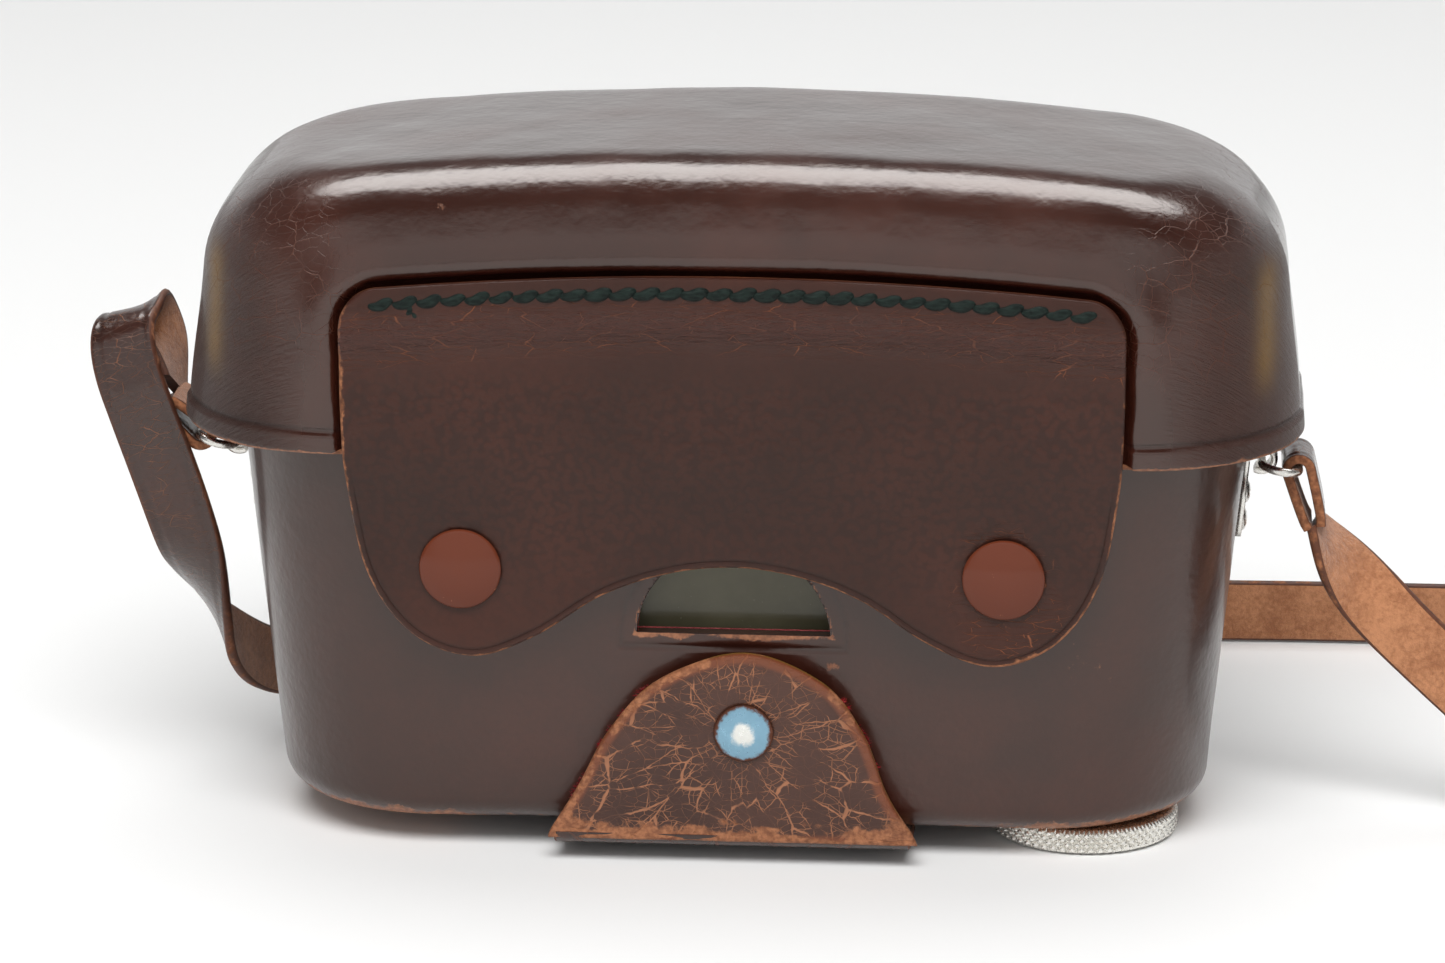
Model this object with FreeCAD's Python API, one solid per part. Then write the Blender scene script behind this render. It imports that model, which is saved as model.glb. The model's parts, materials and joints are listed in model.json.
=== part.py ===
import FreeCAD, Part
import math
import os

# A half frame camera inside its ever-ready leather case.
# Millimetres, +Z up, +X to the right as seen from the front, the front faces -Y.
# The origin is on the surface that the case stands on, under the middle of the case.

os.makedirs("parts", exist_ok=True)
V = FreeCAD.Vector
AXIS_X = V(1, 0, 0)
AXIS_Y = V(0, 1, 0)
AXIS_Z = V(0, 0, 1)

# ---- driving dimensions of the leather case ----
leather = 1.6                # moulded leather wall
velvet = 0.45                # lining glued inside it
glue_gap = 0.05              # gap between a wall and its lining
case_base_z = 3.2            # the case stands on its screw and on the tongue under it
sole = 0.8                   # stiffener that makes the bottom thicker than the walls
case_rim_z = 53.0            # top edge of the lower case, inside the hood
case_base_size = (109.0, 46.0)
case_rim_size = (118.6, 49.6)
case_corner_r = 18.5
case_edge_r = 3.2
hood_lip_z = 48.6
hood_crest_z = 82.5
hood_lip_size = (130.0, 54.8)
hood_top_size = (124.0, 53.2)
hood_corner_r = 20.0
hood_edge_r = 11.0
hood_arch_r = 420.0          # the top is arched from side to side
rounding_steps = 5

# ---- lens port in the front of the lower case ----
port_floor_z = 27.2
port_half_width = 11.2
port_arch_height = 10.5
notch_half_width = 17.0      # the part of the port hidden behind the flap
notch_floor_z = 36.6
notch_corner_r = 6.0

# ---- front flap and its snaps ----
flap_half_width = 44.6
flap_top_z = 69.2
flap_leather = 1.3
flap_lining = 0.4
snap_x = 31.1
snap_z = 35.5
snap_cap_r = 4.7
stitch_count = 30
stitch_z = 67.3
stitch_half_span = 41.0

# ---- tongue under the case and its front tab ----
tongue_half_width = 15.0
tongue_thickness = 1.5
tongue_lift = (-12.0, -24.6, 1.8)    # it rises from the first y to this height at the second
tab_base_z = 4.1             # where the tongue has turned up into the tab
tongue_sewn_height = 13.0
tab_half_width = 21.0
tab_top_z = 25.6
tab_snap = (1.4, 16.3)
tab_cap_r = 3.45

# ---- case screw with a tripod socket in its underside ----
screw_x, screw_y = 40.4, -9.5
screw_disc_r = 11.1
screw_disc_t = 3.0
screw_hub_r = 5.2
screw_shank_r = 3.12
screw_socket_r = 3.175
screw_socket_depth = 4.6
knurl_count = 60

# ---- side lugs, rings and strap ----
lug_z = 43.0
lug_plate_t = 0.8
eye_r = 1.1
ring_wire_r = 0.5
ring_depth = 4.4             # centre line to centre line, across the ring
ring_straight = 6.4
ring_tilt_right = 80.0       # turned up from hanging by the strap
ring_tilt_left = 105.0
strap_width = 8.0
strap_thickness = 1.3
strap_tube_r = 1.8           # a round section with the area of the flat strap
coil_x, coil_y = 140.0, 22.0
coil_r = 45.0
coil_bore_r = 13.0

# ---- camera body ----
camera_half_width = 50.5
camera_front_y = -16.5
camera_back_y = 18.5
camera_corner_r = 8.0
camera_base_z = 6.3
camera_floor_z = 9.3         # top of the base plate
camera_deck_z = 60.0         # top of the chassis, underside of the top cover
camera_top_z = 71.5
sheet_metal = 0.8
lens_z = 42.2
gate_width, gate_height = 18.0, 24.0
gate_y = 13.5
barrel_r = 20.0
barrel_seat_r = 18.0         # the part of the barrel that sits in the body
glass_r = 19.2
glass_front_y = -19.9
aperture_ring_r = 22.0
focus_ring_r = 21.6
running_gap = 0.06

# ---- film transport ----
wheel_x, transport_y = -34.5, 5.0
gear_module = 1.0
wheel_teeth, sprocket_teeth = 20, 14
sprocket_x = wheel_x + gear_module * (wheel_teeth + sprocket_teeth) / 2
thumb_wheel_r = 14.7
spool_hub_r = 9.0
spool_flange_r = 12.0
rewind_x, rewind_y = 35.0, 2.0
rewind_knob_r = 9.5


def save(node, shape):
    """Write one sub-part and report its solids."""
    shape.exportStep("parts/%s.step" % node)
    print("%-22s %2d solids %10.1f mm3" % (node, len(shape.Solids), shape.Volume))


def segment(a, b):
    return Part.LineSegment(a, b).toShape()


def arc(a, middle, b):
    return Part.Arc(a, middle, b).toShape()


def cylinder(radius, start, axis, length):
    return Part.makeCylinder(radius, length, start, axis)


def ring(outer_r, inner_r, start, axis, length):
    return cylinder(outer_r, start, axis, length).cut(cylinder(inner_r, start, axis, length))


def block(x0, x1, y0, y1, z0, z1):
    return Part.makeBox(x1 - x0, y1 - y0, z1 - z0, V(x0, y0, z0))


def group(shapes):
    return Part.makeCompound(shapes)


def mirrored(shape):
    """The shape on the other side of the middle plane."""
    return shape.mirror(V(0, 0, 0), AXIS_X)


def rounded_rect(width, depth, radius, z, middle_y=0.0):
    """Closed plan outline at height z, its corners rounded."""
    x = width / 2
    y = depth / 2
    k = radius * (1 - math.sqrt(0.5))
    edges = []
    for sx, sy in ((1, -1), (1, 1), (-1, 1), (-1, -1)):
        side = V(sx * x, middle_y + sy * (y - radius), z)
        end = V(sx * (x - radius), middle_y + sy * y, z)
        middle = V(sx * (x - k), middle_y + sy * (y - k), z)
        first, last = (end, side) if sx * sy < 0 else (side, end)
        edges.append((first, middle, last))
    shapes = []
    for index, (first, middle, last) in enumerate(edges):
        shapes.append(arc(first, middle, last))
        shapes.append(segment(last, edges[(index + 1) % 4][0]))
    return Part.Wire(shapes)


def prism(width, depth, radius, z0, z1, middle_y=0.0):
    outline = rounded_rect(width, depth, radius, z0, middle_y)
    return Part.Face(outline).extrude(V(0, 0, z1 - z0))


def moulded(levels):
    """A moulded leather form through plan outlines (z, width, depth, corner radius)."""
    wires = [rounded_rect(width, depth, radius, z) for z, width, depth, radius in levels]
    return Part.makeLoft(wires, True, True)


def between(a, b, share):
    return a + (b - a) * share


# ---- lower case ----

def case_size(z):
    share = (z - case_base_z) / (case_rim_z - case_base_z)
    return [between(a, b, share) for a, b in zip(case_base_size, case_rim_size)]


def case_form(inset, top_z):
    """The lower case's outside, drawn in all round by inset, up to top_z."""
    edge = max(case_edge_r - inset, 1.0)
    base = case_base_z + inset + (sole if inset else 0)
    levels = []
    for step in range(rounding_steps + 1):
        angle = math.radians(90.0 * step / rounding_steps)
        drawn = inset + edge * (1 - math.sin(angle))
        z = base + edge * (1 - math.cos(angle))
        width, depth = case_size(z)
        levels.append((z, width - 2 * drawn, depth - 2 * drawn, case_corner_r - drawn))
    width, depth = case_size(top_z)
    levels.append((top_z, width - 2 * inset, depth - 2 * inset, case_corner_r - inset))
    return moulded(levels)


def case_front_y(z):
    return -case_size(z)[1] / 2


def case_floor_z():
    """Top of the leather floor."""
    return case_base_z + sole + leather


def port_cutter():
    """D-shaped port with the wider notch above it, open to the rim."""
    near, far = -40.0, -15.0
    left = V(-port_half_width, near, port_floor_z)
    right = V(port_half_width, near, port_floor_z)
    top = V(0, near, port_floor_z + port_arch_height)
    window = Part.Face(Part.Wire([segment(left, right), arc(right, top, left)]))
    window = window.extrude(V(0, far - near, 0))
    notch = block(-notch_half_width, notch_half_width, near, far,
                  notch_floor_z - notch_corner_r, case_rim_z + 1)
    bottom_edges = [e for e in notch.Edges
                    if abs(e.BoundBox.ZMax - (notch_floor_z - notch_corner_r)) < 0.01
                    and e.BoundBox.YLength > 1]
    notch = notch.makeFillet(notch_corner_r, bottom_edges)
    notch = notch.cut(block(-30, 30, near, far, 0, notch_floor_z))
    return window.fuse(notch)


def snap_places():
    return [(-snap_x, snap_z), (snap_x, snap_z)]


def stud_holes(radius):
    places = snap_places() + [tab_snap]
    return group([cylinder(radius, V(x, -30, z), AXIS_Y, 12) for x, z in places])


def screw_hole(radius):
    return cylinder(radius, V(screw_x, screw_y, -1), AXIS_Z, 12)


def lug_holes(radius):
    holes = []
    for z in lug_rivet_heights():
        hole = cylinder(radius, V(45, 0, z), AXIS_X, 20)
        holes += [hole, mirrored(hole)]
    return group(holes)


def make_lower_case():
    shell = case_form(0, case_rim_z).cut(case_form(leather, case_rim_z + 1))
    for cutter in (port_cutter(), stud_holes(1.1), screw_hole(screw_hub_r + 0.3), lug_holes(1.05)):
        shell = shell.cut(cutter)
    return shell


def make_case_lining():
    outer = case_form(leather + glue_gap, case_rim_z - 0.6)
    inner = case_form(leather + glue_gap + velvet, case_rim_z + 1)
    lining = outer.cut(inner)
    for cutter in (port_cutter(), stud_holes(2.9), screw_hole(7.3), lug_holes(2.2)):
        lining = lining.cut(cutter)
    return lining


# ---- hood ----

def hood_size(z):
    share = (z - hood_lip_z) / (hood_crest_z - hood_lip_z)
    return [between(a, b, share) for a, b in zip(hood_lip_size, hood_top_size)]


def hood_form(inset, bottom_z):
    """The hood's outside, drawn in by inset, from bottom_z to its arched top."""
    edge = hood_edge_r - inset
    top = hood_crest_z - inset
    levels = []
    for z in (bottom_z, hood_lip_z + 3):
        width, depth = hood_size(z)
        levels.append((z, width - 2 * inset, depth - 2 * inset, hood_corner_r - inset))
    for step in range(rounding_steps + 1):
        angle = math.radians(90.0 * step / rounding_steps)
        drawn = inset + edge * (1 - math.cos(angle))
        z = top - edge + edge * math.sin(angle)
        width, depth = hood_size(z)
        levels.append((z, width - 2 * drawn, depth - 2 * drawn, hood_corner_r - drawn))
    arch = cylinder(hood_arch_r - inset, V(0, -50, hood_crest_z - hood_arch_r), AXIS_Y, 100)
    return moulded(levels).common(arch)


def make_hood():
    return hood_form(0, hood_lip_z).cut(hood_form(leather, hood_lip_z - 1))


def make_hood_lining():
    outer = hood_form(leather + glue_gap, hood_lip_z + 0.6)
    return outer.cut(hood_form(leather + glue_gap + velvet, hood_lip_z - 1))


# ---- front flap ----

def flap_outline(x_extra=0.0):
    """Front view of the flap: rounded top corners, two lobes and the arch between them."""
    y = -40.0
    corner = 4.6
    k = corner * (1 - math.sqrt(0.5))
    top = V(flap_half_width - corner, y, flap_top_z)
    side = V(flap_half_width, y, flap_top_z - corner)
    shoulder = V(flap_half_width - 0.5, y, 46.0)
    lobe = [shoulder, V(42.0, y, 35.0), V(37.0, y, 27.6), V(30.0, y, 24.9),
            V(22.5, y, 26.9), V(15.0, y, 31.0), V(7.5, y, 34.2), V(0, y, 35.1)]
    right = [V(p.x + x_extra, y, p.z) for p in lobe]
    left = [V(-p.x, y, p.z) for p in reversed(right[:-1])]
    lower = Part.BSplineCurve()
    lower.interpolate(right + left)
    edges = [
        segment(V(-top.x, y, top.z), top),
        arc(top, V(flap_half_width - k, y, flap_top_z - k), side),
        segment(side, right[0]),
        lower.toShape(),
        segment(left[-1], V(-side.x, y, side.z)),
        arc(V(-side.x, y, side.z), V(-flap_half_width + k, y, flap_top_z - k),
            V(-top.x, y, top.z)),
    ]
    return Part.Face(Part.Wire(edges)).extrude(V(0, 30, 0))


def flap_section():
    """Side view of the flap's inner face: flat on the hood, then in towards the snaps."""
    hood_top_y = -hood_size(flap_top_z + 1)[1] / 2
    hood_lip_y = -hood_size(hood_lip_z)[1] / 2
    snapped_y = case_front_y(snap_z) - 1.72
    return [(hood_top_y, flap_top_z + 1), (hood_lip_y, hood_lip_z),
            (snapped_y, snap_z + 6), (snapped_y + 0.4, 20.0)]


def curtain(section, near, far):
    """A layer that hangs in front of the case, from near to far outside the section."""
    front = [V(-60, y - far, z) for y, z in section]
    back = [V(-60, y - near, z) for y, z in reversed(section)]
    outline = Part.makePolygon(front + back + [front[0]])
    return Part.Face(outline).extrude(V(120, 0, 0))


def make_flap():
    inner = glue_gap + flap_lining
    layer = curtain(flap_section(), inner, inner + flap_leather)
    sewn = curtain(flap_section()[:2], glue_gap, inner + 0.01)
    sewn = sewn.common(block(-60, 60, -40, 0, 60, 80))
    flap = layer.fuse(sewn).common(flap_outline())
    for x, z in snap_places():
        flap = flap.cut(cylinder(1.3, V(x, -40, z), AXIS_Y, 30))
    return flap


def make_flap_lining():
    layer = curtain(flap_section(), 0, flap_lining).common(flap_outline())
    layer = layer.common(block(-60, 60, -40, 0, 20, 47.5))
    for x, z in snap_places():
        layer = layer.cut(cylinder(1.3, V(x, -40, z), AXIS_Y, 30))
    return layer


def flap_front_y(z):
    """Front face of the flap at height z."""
    points = flap_section()
    for (y0, z0), (y1, z1) in zip(points, points[1:]):
        if z1 <= z <= z0:
            return between(y0, y1, (z - z0) / (z1 - z0)) - glue_gap - flap_lining - flap_leather
    return points[-1][0]


def make_flap_stitches():
    """A row of flat waxed stitches along the flap's top edge."""
    pitch = 2 * stitch_half_span / stitch_count
    stitches = []
    for index in range(stitch_count):
        x = -stitch_half_span + pitch * (index + 0.5)
        y = flap_front_y(stitch_z) - 0.02
        stitches.append(block(x - 0.4 * pitch, x + 0.4 * pitch, y - 0.45, y, stitch_z - 0.4,
                              stitch_z + 0.4))
    return group(stitches)


# ---- snap fasteners ----

def snap_cap(x, z, front_y, radius, grip):
    """Domed cap with the hollow shank that goes through the leather to its socket."""
    dome_rise = 0.22 * radius
    sphere_r = (radius ** 2 + dome_rise ** 2) / (2 * dome_rise)
    dome = Part.makeSphere(sphere_r, V(x, front_y - 0.5 - dome_rise + sphere_r, z))
    dome = dome.common(cylinder(radius, V(x, front_y - 3, z), AXIS_Y, 2.5))
    rim = cylinder(radius, V(x, front_y - 0.5, z), AXIS_Y, 0.48)
    shank = cylinder(1.2, V(x, front_y - 0.5, z), AXIS_Y, grip)
    return dome.fuse(rim).fuse(shank)


def snap_socket(x, z, front_y):
    """Ring that clips over the stud, spun on the end of the cap's shank."""
    collar = ring(3.4, 2.1, V(x, front_y, z), AXIS_Y, 0.55)
    plate = ring(3.4, 1.25, V(x, front_y - 0.25, z), AXIS_Y, 0.25)
    return collar.fuse(plate)


def snap_stud(x, z, wall_y):
    """Stud on the wall of the case, riveted through it."""
    base = cylinder(3.3, V(x, wall_y - 0.5, z), AXIS_Y, 0.3)
    knob = cylinder(1.75, V(x, wall_y - 1.1, z), AXIS_Y, 0.65)
    shank = cylinder(1.0, V(x, wall_y - 0.3, z), AXIS_Y, leather + velvet + 1.0)
    head = cylinder(2.6, V(x, wall_y + leather + 0.45, z), AXIS_Y, 0.4)
    return base.fuse([knob, shank, head]).removeSplitter()


def flap_inner_y(z):
    return flap_front_y(z) + flap_leather + flap_lining + glue_gap


# ---- tongue and front tab ----

def tongue_back_y():
    return hood_lip_size[1] / 2 + 0.35


def make_tongue():
    """Leather band from the hood's back edge, down the back, under the case and up to the tab."""
    back = tongue_back_y()
    face = tab_face_y()
    t = tongue_thickness
    rise_y, turn_y, turn_z = tongue_lift
    r = 3.0
    k = 1 - math.sqrt(0.5)
    end_z = tab_base_z - 0.2
    outer = [V(0, face, end_z), V(0, turn_y, turn_z), V(0, rise_y, 0), V(0, back - r, 0),
             V(0, back, r), V(0, back, hood_lip_z - 0.4)]
    inner = [V(0, back - t, hood_lip_z - 0.4), V(0, back - t, r), V(0, back - r, t),
             V(0, rise_y, t), V(0, turn_y, turn_z + t), V(0, face + 1.3, end_z)]
    edges = [
        arc(outer[0], V(0, face + 0.6, turn_z + 0.62), outer[1]),
        segment(outer[1], outer[2]),
        segment(outer[2], outer[3]),
        arc(outer[3], V(0, back - r * k, r * k), outer[4]),
        segment(outer[4], outer[5]),
        segment(outer[5], inner[0]),
        segment(inner[0], inner[1]),
        arc(inner[1], V(0, back - t - (r - t) * k, t + (r - t) * k), inner[2]),
        segment(inner[2], inner[3]),
        segment(inner[3], inner[4]),
        segment(inner[4], inner[5]),
        segment(inner[5], outer[0]),
    ]
    section = Part.Face(Part.Wire(edges))
    band = section.extrude(V(2 * tab_half_width, 0, 0))
    band.translate(V(-tab_half_width, 0, 0))
    side = block(tongue_half_width, 60, -10, 60, -1, 60)
    for cutter in (side, mirrored(side), screw_hole(screw_disc_r + 0.6)):
        band = band.cut(cutter)
    return band


def make_hood_hinge():
    """The tongue's end, sewn to the back of the hood."""
    inner = hood_lip_size[1] / 2 + 0.05
    strip = block(-tongue_half_width, tongue_half_width, inner, inner + 1.6,
                  hood_lip_z + 0.2, hood_lip_z + tongue_sewn_height)
    return strip


def tab_face_y():
    """Front face of the tab's leather."""
    return case_front_y(case_base_z) - 3.85


def tab_outline():
    """Front view of the tab: a rounded top on slanting, slightly hollow sides."""
    y = -40.0
    base_z = tab_base_z
    shift = tab_snap[0]
    right = Part.BSplineCurve()
    right.interpolate([V(tab_half_width, y, base_z), V(17.6, y, 9.0), V(14.6 + 0.5 * shift, y, 16.0),
                       V(9.4 + shift, y, 22.2), V(shift, y, tab_top_z), V(-9.4 + shift, y, 22.2),
                       V(-14.6 + 0.5 * shift, y, 16.0), V(-17.6, y, 9.0),
                       V(-tab_half_width, y, base_z)])
    base = segment(V(-tab_half_width, y, base_z), V(tab_half_width, y, base_z))
    return Part.Face(Part.Wire([right.toShape(), base])).extrude(V(0, 30, 0))


def make_tab():
    face = tab_face_y()
    plate = block(-30, 30, face, face + 1.3, 0, 40).common(tab_outline())
    return plate.cut(cylinder(1.3, V(tab_snap[0], -40, tab_snap[1]), AXIS_Y, 30))


def make_tab_lining():
    face = tab_face_y() + 1.35
    plate = block(-30, 30, face, face + 0.35, tab_base_z + 0.8, 40).common(tab_outline())
    return plate.cut(cylinder(1.3, V(tab_snap[0], -40, tab_snap[1]), AXIS_Y, 30))


# ---- case screw ----

def make_case_screw():
    """Knurled disc, hub and quarter-inch shank, with a tripod socket in the underside."""
    at = V(screw_x, screw_y, 0)
    disc = cylinder(screw_disc_r, at, AXIS_Z, screw_disc_t)
    groove = Part.makeCylinder(0.35, screw_disc_t, V(screw_x + screw_disc_r, screw_y, 0), AXIS_Z)
    grooves = []
    for index in range(knurl_count):
        cutter = groove.copy()
        cutter.rotate(at, AXIS_Z, 360.0 * index / knurl_count)
        grooves.append(cutter)
    disc = disc.cut(group(grooves))
    hub = cylinder(screw_hub_r, at, AXIS_Z, case_floor_z() - 0.05)
    shank = cylinder(screw_shank_r, at, AXIS_Z, 14.0)
    screw = disc.fuse([hub, shank]).removeSplitter()
    return screw.cut(cylinder(screw_socket_r, at, AXIS_Z, screw_socket_depth))


def make_screw_washer():
    z = case_floor_z() + 0.02
    return ring(7.0, screw_shank_r + 0.4, V(screw_x, screw_y, z), AXIS_Z, 0.45)


# ---- side lugs and rings ----

def lug_rivet_heights():
    return (lug_z - 4.6, lug_z - 8.2)


def lug_wall_x():
    """Outside of the case wall at the lowest rivet, where the plate lies on it."""
    return case_size(lug_z + 2)[0] / 2


def eye_x():
    return lug_wall_x() + lug_plate_t + eye_r


def make_lug():
    """Metal strip folded into an eye at its top and riveted to the right side."""
    wall = lug_wall_x() + 0.05
    plate = block(wall, wall + lug_plate_t, -3.0, 3.0, lug_z - 10.5, lug_z)
    eye = ring(eye_r + lug_plate_t, eye_r, V(eye_x() + 0.05, -1.6, lug_z), AXIS_Y, 3.2)
    lug = plate.fuse(eye).cut(cylinder(eye_r, V(eye_x() + 0.05, -4, lug_z), AXIS_Y, 8))
    for z in lug_rivet_heights():
        lug = lug.cut(cylinder(1.05, V(50, 0, z), AXIS_X, 20))
    return lug


def make_lug_rivets():
    """Two rivets through the strip and the wall of the right side."""
    rivets = []
    for z in lug_rivet_heights():
        wall = lug_wall_x() + 0.05
        head = cylinder(1.9, V(wall + lug_plate_t + 0.02, 0, z), AXIS_X, 0.5)
        shank_end = case_size(z)[0] / 2 - leather
        shank = cylinder(0.98, V(shank_end - 0.8, 0, z), AXIS_X, wall + 1.8 - shank_end)
        clinch = cylinder(1.8, V(shank_end - 0.8, 0, z), AXIS_X, 0.45)
        rivets.append(head.fuse([shank, clinch]).removeSplitter())
    return rivets


def strap_ring(tilt):
    """Oblong wire ring through the right eye, turned up by tilt degrees from hanging."""
    centre = V(eye_x() + 0.05, 0, lug_z)
    half = ring_straight / 2
    r = ring_depth / 2
    near = 0.0
    far = -ring_depth
    path = Part.Wire([
        segment(V(0, -half, near), V(0, half, near)),
        arc(V(0, half, near), V(0, half + r, far / 2), V(0, half, far)),
        segment(V(0, half, far), V(0, -half, far)),
        arc(V(0, -half, far), V(0, -half - r, far / 2), V(0, -half, near)),
    ])
    profile = Part.Wire([Part.Circle(V(0, -half, near), AXIS_Y, ring_wire_r).toShape()])
    wire = path.makePipeShell([profile], True, False)
    wire.rotate(V(0, 0, 0), AXIS_Y, -tilt)
    wire.translate(centre)
    return wire


def ring_far_side(tilt):
    """Middle of the ring's outer side, where the strap goes round it."""
    angle = math.radians(tilt)
    return V(eye_x() + 0.05 + ring_depth * math.sin(angle), 0,
             lug_z - ring_depth * math.cos(angle))


# ---- neck strap ----

def left_route():
    """Route of the strap from the left ring: up, over a tight fold, down and away behind."""
    return [V(-68.4, 0.4, 48.8), V(-69.4, 3.2, 52.6), V(-70.8, 4.4, 55.6), V(-73.0, 1.9, 57.9),
            V(-74.0, -2.0, 56.9), V(-73.4, -4.4, 52.8), V(-71.2, -5.0, 46.6),
            V(-68.9, -4.4, 39.6), V(-66.9, -2.8, 32.0), V(-65.6, 1.2, 24.2),
            V(-63.8, 8.4, 15.4), V(-60.0, 18.6, 8.6), V(-53.4, 30.0, 5.4), V(-42.0, 40.0, 4.4),
            V(-25.0, 48.2, 4.1), V(-4.6, 54.6, 4.2), V(17.4, 60.0, 4.0), V(40.0, 63.6, 4.1),
            V(62.6, 65.0, 4.0), V(84.0, 64.8, 4.1), V(105.6, 65.0, 4.0), V(126.0, 65.4, 4.0)]


def right_route():
    """Route of the strap from the right ring down to the surface and out to the coil."""
    return [V(67.0, 0.0, 35.2), V(70.0, -0.8, 30.6), V(75.0, -2.0, 25.0), V(81.6, -3.4, 19.0),
            V(89.0, -4.8, 12.6), V(96.4, -5.4, 6.8), V(101.6, -2.2, 4.3)]


def tube(route, radius):
    """A round tube along straight runs joined by the largest tangent arcs that fit."""
    edges = []
    start = route[0]
    radii = []
    for before, corner, after in zip(route, route[1:], route[2:]):
        come = (corner - before)
        go = (after - corner)
        shorter = min(come.Length, go.Length)
        turn = come.getAngle(go)
        back = 0.45 * shorter
        radii.append(back / math.tan(turn / 2))
        come.normalize()
        go.normalize()
        first = corner - come * back
        last = corner + go * back
        inward = (go - come)
        inward.normalize()
        drop = radii[-1] * (1 / math.cos(turn / 2) - 1)
        edges.append(segment(start, first))
        edges.append(arc(first, corner + inward * drop, last))
        start = last
    edges.append(segment(start, route[-1]))
    path = Part.Wire(edges)
    profile = Part.Wire([Part.Circle(route[0], route[1] - route[0], radius).toShape()])
    solid = path.makePipeShell([profile], True, False)
    print("strap run %.1f mm, tightest arc %.1f mm, volume %.1f against %.1f" % (
        path.Length, min(radii), solid.Volume, path.Length * math.pi * radius ** 2))
    return solid


def make_strap_coil():
    """The rest of the strap, wound loosely on its edge."""
    return ring(coil_r, coil_bore_r, V(coil_x, coil_y, 0), AXIS_Z, strap_width)


def strap_fold(eye, direction, length):
    """Strap end folded round the ring: two layers joined by a half-round bend."""
    gap = 2.0 * ring_wire_r + 0.5
    t = strap_thickness
    half = gap / 2
    w = strap_width / 2
    a = V(0, -w, 0)
    edges = [
        segment(a + V(half, 0, 0), a + V(half, 0, length)),
        segment(a + V(half, 0, length), a + V(half + t, 0, length)),
        segment(a + V(half + t, 0, length), a + V(half + t, 0, 0)),
        arc(a + V(half + t, 0, 0), a + V(0, 0, -half - t), a + V(-half - t, 0, 0)),
        segment(a + V(-half - t, 0, 0), a + V(-half - t, 0, length)),
        segment(a + V(-half - t, 0, length), a + V(-half, 0, length)),
        segment(a + V(-half, 0, length), a + V(-half, 0, 0)),
        arc(a + V(-half, 0, 0), a + V(0, 0, -half), a + V(half, 0, 0)),
    ]
    fold = Part.Face(Part.Wire(edges)).extrude(V(0, strap_width, 0))
    fold = fold.fuse(block(-half - 0.01, half + 0.01, -w, w, 0.55 * length, length))
    fold = fold.removeSplitter()
    angle = math.degrees(math.atan2(direction.x, direction.z))
    fold.rotate(V(0, 0, 0), AXIS_Y, angle)
    fold.translate(eye)
    return fold


# ---- camera body ----

camera_middle_y = (camera_front_y + camera_back_y) / 2
camera_depth = camera_back_y - camera_front_y
split_y = 10.0               # the back cover and the front shell meet here


def body_prism(inset, z0, z1):
    return prism(2 * (camera_half_width - inset), camera_depth - 2 * inset,
                 camera_corner_r - inset, z0, z1, camera_middle_y)


def lens_cylinder(radius, y0, y1):
    return cylinder(radius, V(0, y0, lens_z), AXIS_Y, y1 - y0)


def film_tunnel():
    """Tapered light tunnel from the lens to the film gate."""
    front = Part.makePolygon([V(x, camera_front_y - 1, z) for x, z in tunnel_corners(7.0, 8.0)])
    back = Part.makePolygon([V(x, gate_y + 2, z) for x, z in
                             tunnel_corners(gate_width / 2, gate_height / 2)])
    return Part.makeLoft([front, back], True, True)


def tunnel_corners(x, z):
    return [(-x, lens_z - z), (x, lens_z - z), (x, lens_z + z), (-x, lens_z + z), (-x, lens_z - z)]


def make_chassis():
    """Die-cast frame with its two film chambers, sprocket bay, light tunnel and gate."""
    frame = body_prism(1.2, camera_floor_z, camera_deck_z - 0.05)
    frame = frame.cut(block(-60, 60, gate_y, 40, 0, 80))
    cutters = [
        cylinder(12.9, V(rewind_x, rewind_y, 19.0), AXIS_Z, 60),
        cylinder(12.7, V(wheel_x, transport_y, 22.0), AXIS_Z, 60),
        cylinder(7.0, V(sprocket_x, transport_y, 23.0), AXIS_Z, 60),
        block(wheel_x - 8, wheel_x + 8, transport_y, 20, 22, 80),
        block(rewind_x - 9, rewind_x + 9, rewind_y, 20, 19, 80),
        block(sprocket_x - 4, sprocket_x + 4, transport_y, 20, 23, 80),
        film_tunnel(),
        cylinder(5.6, V(screw_x, screw_y, 0), AXIS_Z, 15.5),
        cylinder(2.05, V(sprocket_x, transport_y, 18), AXIS_Z, 10),
        cylinder(2.05, V(wheel_x, transport_y, 17), AXIS_Z, 10),
        lens_cylinder(barrel_seat_r + 0.1, camera_front_y - 2, camera_front_y + 4),
        lens_cylinder(9.2, camera_front_y - 2, camera_front_y + 8),
        block(-60, -45.5, split_y - 3, 20, 31.0, 45.0),
        cylinder(2.3, V(hinge_x(), split_y + 1.6, 0), AXIS_Z, 80),
    ]
    for cutter in cutters:
        frame = frame.cut(cutter)
    return frame


def skin(outer_inset, inner_inset, z0, z1):
    return body_prism(outer_inset, z0, z1).cut(body_prism(inner_inset, z0, z1))


def make_front_shell():
    shell = skin(0.4, 1.15, camera_floor_z, camera_deck_z - 0.05)
    shell = shell.cut(block(-60, 60, split_y, 40, 0, 80))
    return shell.cut(lens_cylinder(barrel_seat_r + 0.1, -30, 0))


def make_front_leatherette():
    cover = skin(0, 0.38, 13.0, camera_deck_z - 2.5)
    cover = cover.cut(block(-60, 60, split_y, 40, 0, 80))
    return cover.cut(lens_cylinder(aperture_ring_r + 0.4, -30, 0))


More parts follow.
